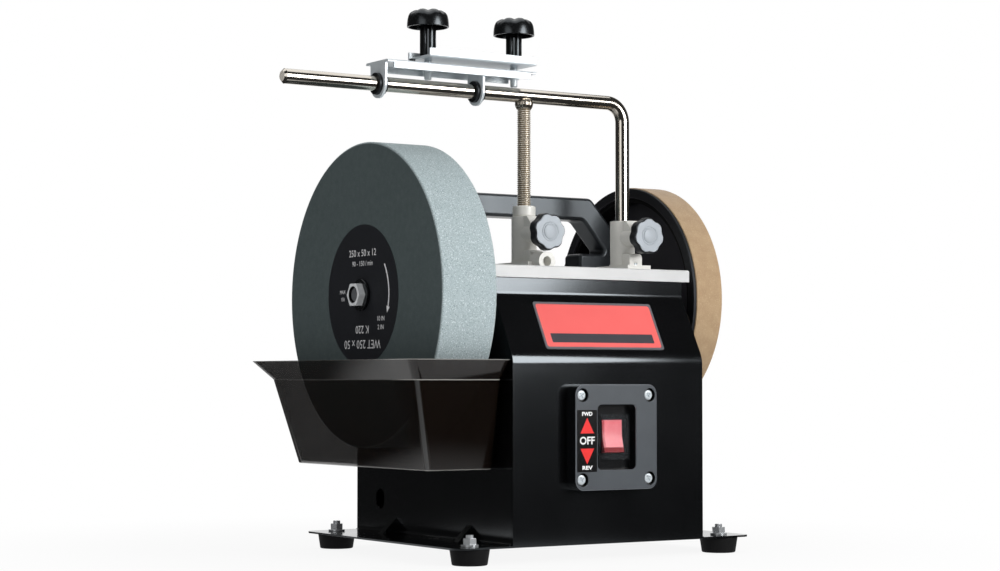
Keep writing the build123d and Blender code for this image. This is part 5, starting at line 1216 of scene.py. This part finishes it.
def rocker_plastic():
    """Pinkish red plastic, with painted shade that turns it deep red at its lower end and down its left
    edge.
    """
    plastic = Finish("rocker_plastic")
    # Painted shade: deep red on the lower end and down the left edge.
    above_shaded_foot = plastic.rise(plastic.along((0, 0, 1)) - rocker_low.z, *SHADED_FOOT)
    beside_shaded_edge = plastic.rise(plastic.along((1, 0, 0)) - rocker_left, *SHADED_SIDE)
    cloud = plastic.grain(6 * MM, 3)
    face = plastic.blend(cloud, srgb(232, 104, 114), srgb(246, 136, 144))
    face_with_shaded_edge = plastic.blend(beside_shaded_edge, srgb(196, 62, 72), face)
    return plastic.surface({
        "Base Color": plastic.blend(above_shaded_foot, srgb(140, 14, 24), face_with_shaded_edge),
        "Roughness": cloud * 0.08 + (1 - above_shaded_foot) * 0.5 + 0.16,
        "Normal": plastic.bump(cloud, 0.004 * MM),
    })


dress(rocker_plastic(), ROCKER_EDGE, "switch_rocker", steps=3)

# Splash cover
# Soft clear plastic box over the rocker, moulded thin enough to press the key through it.
# It sits on the bezel of the switch body.
COVER_EDGE = 0.4 * MM
COVER_EDGE_HIGHLIGHT = 0.35


def clear_plastic():
    """Soft clear cover with a faint haze, and a painted highlight that makes it greyer and more opaque where
    it turns away from the view.
    """
    clear = Finish("clear_cover")
    haze = clear.grain(8 * MM, 3)
    # Painted highlight: more opaque grey where the cover turns away from the view.
    edge = clear.node("ShaderNodeLayerWeight", {}, {"Blend": COVER_EDGE_HIGHLIGHT}, output="Facing")
    return clear.surface({
        "Base Color": clear.blend(haze, srgb(96, 102, 106), srgb(128, 134, 138)),
        "Roughness": haze * 0.08 + 0.06,
        "Alpha": edge * edge * 0.3 + 0.03,
        "Normal": clear.bump(clear.grain(5 * MM, 2), 0.02 * MM),
    })


dress(clear_plastic(), COVER_EDGE, "splash_cover")

# Switch film
# Glossy black printed film stuck on the box beside the recess.
# It has white words for both directions and for off, and a red pointer for each direction.
FILM_EDGE = 0.05 * MM
FILM_DROP = 2.7 * MM
# Word, its height and width, and its place up the film
FILM_WORDS = [
    ("FWD", (3.2 * MM, 10 * MM), 21.3 * MM),
    ("OFF", (6.3 * MM, 14.5 * MM), 0),
    ("REV", (3.2 * MM, 10 * MM), -21.3 * MM),
]
LETTER_WEIGHT = 0.14 * MM
POINTER_SIZE = (13.1 * MM, 12.4 * MM)
POINTER_HEIGHT = 12.2 * MM

film_low, film_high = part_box("switch_label")
film_middle = (film_low + film_high) / 2
film_face = facing((1, 0, 0), (0, 0, 1), (film_middle.x, film_low.y, film_middle.z - FILM_DROP))
film = softened("switch_label", FILM_EDGE)
settle(film, Matrix.Translation((0, 0, -FILM_DROP)))
stand_for(film, "switch_label", printed("film_black", srgb(6, 6, 7), srgb(11, 11, 12), 0.12))

film_words = []
for body, size, height in FILM_WORDS:
    word = lettering(body, *size, LETTER_WEIGHT)
    settle(word, Matrix.Translation((0, height, 0)))
    film_words.append(word)
words = joined("switch_words", *film_words)
settle(words, film_face)
film_white = printed("film_white", srgb(226, 226, 226), srgb(244, 244, 244))
fix_on(words, "chassis", film_white)

half_width, half_height = POINTER_SIZE[0] / 2, POINTER_SIZE[1] / 2
pointer_outline = [(-half_width, -half_height), (half_width, -half_height), (0, half_height)]
pointers = []
for turn in (0, pi):
    pointer = flat_shape("switch_pointer", pointer_outline)
    settle(pointer, Matrix.Rotation(turn, 4, "Z") @ Matrix.Translation((0, POINTER_HEIGHT, 0)))
    pointers.append(pointer)
triangles = joined("switch_pointers", *pointers)
settle(triangles, film_face)
pointer_red = enamel("pointer_red", srgb(226, 18, 18), srgb(242, 30, 28))
fix_on(triangles, "chassis", pointer_red)

# Cable gland
# Flanged bush of black moulded nylon.
# It is set in a hole of the rear panel, low down on the honing wheel's side.
GLAND_EDGE = 0.6 * MM
dress(bush_nylon, GLAND_EDGE, "cable_gland", steps=3)

# Studio floor and room
# A pale paper sweep under the machine in a white room; the paper keeps the machine's shadow.
# Gloss and metal see a white backdrop behind the machine, and a dim room on its other sides.
WHITE = (1, 1, 1, 1)
BLACK = (0, 0, 0, 1)
PAPER = (0.9, 0.9, 0.9, 1)
FLOOR_SIZE = 12.0
SHADOW_FADE = (0.2, 0.6)
SHADOW_SHARE = 0.1
NEAR_FADE = (0.24, 0.34)
BACKDROP_FADE = (0.35, 1.0)
FRONT_FADE = (0.6, 2.5)
BACKDROP_SPREAD = (0.8, 0.95)
FRONT_SPREAD = (0.75, 0.97)
FLOOR_GLOSS = 0.7
FRONT_GLOSS = 0.02
ROOM_GLOSS = 0.03
ROOM_LIGHT = 0.22
RAYS = ("Is Camera Ray", "Is Glossy Ray", "Is Transmission Ray")
CAMERA_TURN = radians(-33.06)
BACKDROP_AXIS = (-sin(CAMERA_TURN), cos(CAMERA_TURN), 0.0)
FRONT_AXIS = (-sin(CAMERA_TURN), -cos(CAMERA_TURN), 0.0)


def lookers(finish):
    """Whether the camera, a gloss or a clear piece looks at a surface."""
    return [finish.node("ShaderNodeLightPath", output=ray) for ray in RAYS]


bpy.ops.object.select_all(action="DESELECT")
bpy.ops.mesh.primitive_plane_add(size=FLOOR_SIZE)
floor = bpy.context.object
floor.name = "studio_floor"
sweep = Finish("studio_floor")
camera_ray, gloss_ray, clear_ray = lookers(sweep)
paper = sweep.node("ShaderNodeBsdfDiffuse", {}, {"Color": PAPER})
dark = sweep.node("ShaderNodeEmission", {}, {"Color": BLACK})
glow = sweep.node("ShaderNodeEmission", {}, {"Color": WHITE, "Strength": 1.0})
reach = sweep.vector("LENGTH", sweep.place, output="Value")
open_floor = sweep.rise(reach, *SHADOW_FADE)
seen = (camera_ray + clear_ray) * (open_floor * SHADOW_SHARE + (1 - SHADOW_SHARE))
way = sweep.vector("NORMALIZE", sweep.place)
rear = sweep.rise(sweep.along(BACKDROP_AXIS, way), *BACKDROP_SPREAD)
behind = rear * sweep.rise(reach, *BACKDROP_FADE)
front = sweep.rise(sweep.along(FRONT_AXIS, way), *FRONT_SPREAD)
near = 1 - sweep.rise(reach, *NEAR_FADE)
dim = front * sweep.rise(reach, *FRONT_FADE) * FRONT_GLOSS + near * FLOOR_GLOSS + ROOM_GLOSS
plain_floor = sweep.node("ShaderNodeMixShader", {}, {0: seen, 1: paper, 2: glow})
gloss_floor = sweep.node("ShaderNodeMixShader", {}, {0: dim + behind * (1 - dim), 1: dark, 2: glow})
both_floors = sweep.node("ShaderNodeMixShader", {}, {0: gloss_ray, 1: plain_floor, 2: gloss_floor})
sweep.node("ShaderNodeOutputMaterial", {}, {"Surface": both_floors})
floor.data.materials.append(sweep.material)

bpy.context.scene.world = bpy.data.worlds.new("studio")
room = Finish("studio", bpy.context.scene.world, "Generated")
camera_ray, gloss_ray, clear_ray = lookers(room)
backdrop = room.rise(room.along(BACKDROP_AXIS), *BACKDROP_SPREAD)
seen = camera_ray + clear_ray
front = room.rise(room.along(FRONT_AXIS), *FRONT_SPREAD)
gloss = gloss_ray * (backdrop + front * FRONT_GLOSS + (1 - backdrop) * ROOM_GLOSS)
level = seen + gloss + (1 - seen - gloss_ray) * ROOM_LIGHT
background = room.node("ShaderNodeBackground", {}, {"Color": WHITE, "Strength": level})
room.node("ShaderNodeOutputWorld", {}, {"Surface": background})

# Lamps
# A round softbox at the front right, a broad weak one overhead and a fill on the left.
# All are large, so that gloss shows broad pale fields and shadows stay soft.


def softbox(name, shape, place, aim, size, power):
    """Area lamp at a place, turned to an aim."""
    lamp = bpy.data.lights.new(name, "AREA")
    lamp.shape = shape
    lamp.size, lamp.size_y = size
    lamp.energy = power
    light = bpy.data.objects.new(name, lamp)
    bpy.context.scene.collection.objects.link(light)
    light.location = place
    light.rotation_euler = (Vector(aim) - Vector(place)).to_track_quat("-Z", "Y").to_euler()


softbox(
    "key_softbox", "ELLIPSE", place=(0.52, -1.30, 0.58), aim=(0.0, 0.0, 0.24), size=(0.84, 0.84), power=14,
)
softbox("top_softbox", "RECTANGLE", place=(0.0, 0.35, 1.7), aim=(0.0, 0.1, 0.2), size=(2.2, 2.0), power=15)
softbox("left_fill", "RECTANGLE", place=(-1.8, -0.9, 0.7), aim=(0.0, 0.0, 0.2), size=(1.2, 1.2), power=5)

# Camera
# Stands low and nearly two metres off, at the front left, with a long lens.
# It looks a little up, towards the middle of the backdrop.
CAMERA_PLACE = (-0.99835, -1.57755, 0.1436)
CAMERA_TILT = radians(2.45)
CAMERA_LENS = 80.0
CAMERA_SENSOR = 36.0

camera = bpy.data.objects.new("camera", bpy.data.cameras.new("camera"))
bpy.context.scene.collection.objects.link(camera)
camera.data.lens = CAMERA_LENS
camera.data.sensor_width = CAMERA_SENSOR
camera.location = CAMERA_PLACE
camera.rotation_euler = (pi / 2 + CAMERA_TILT, 0, CAMERA_TURN)
bpy.context.scene.camera = camera
bpy.context.scene.view_settings.view_transform = "Standard"
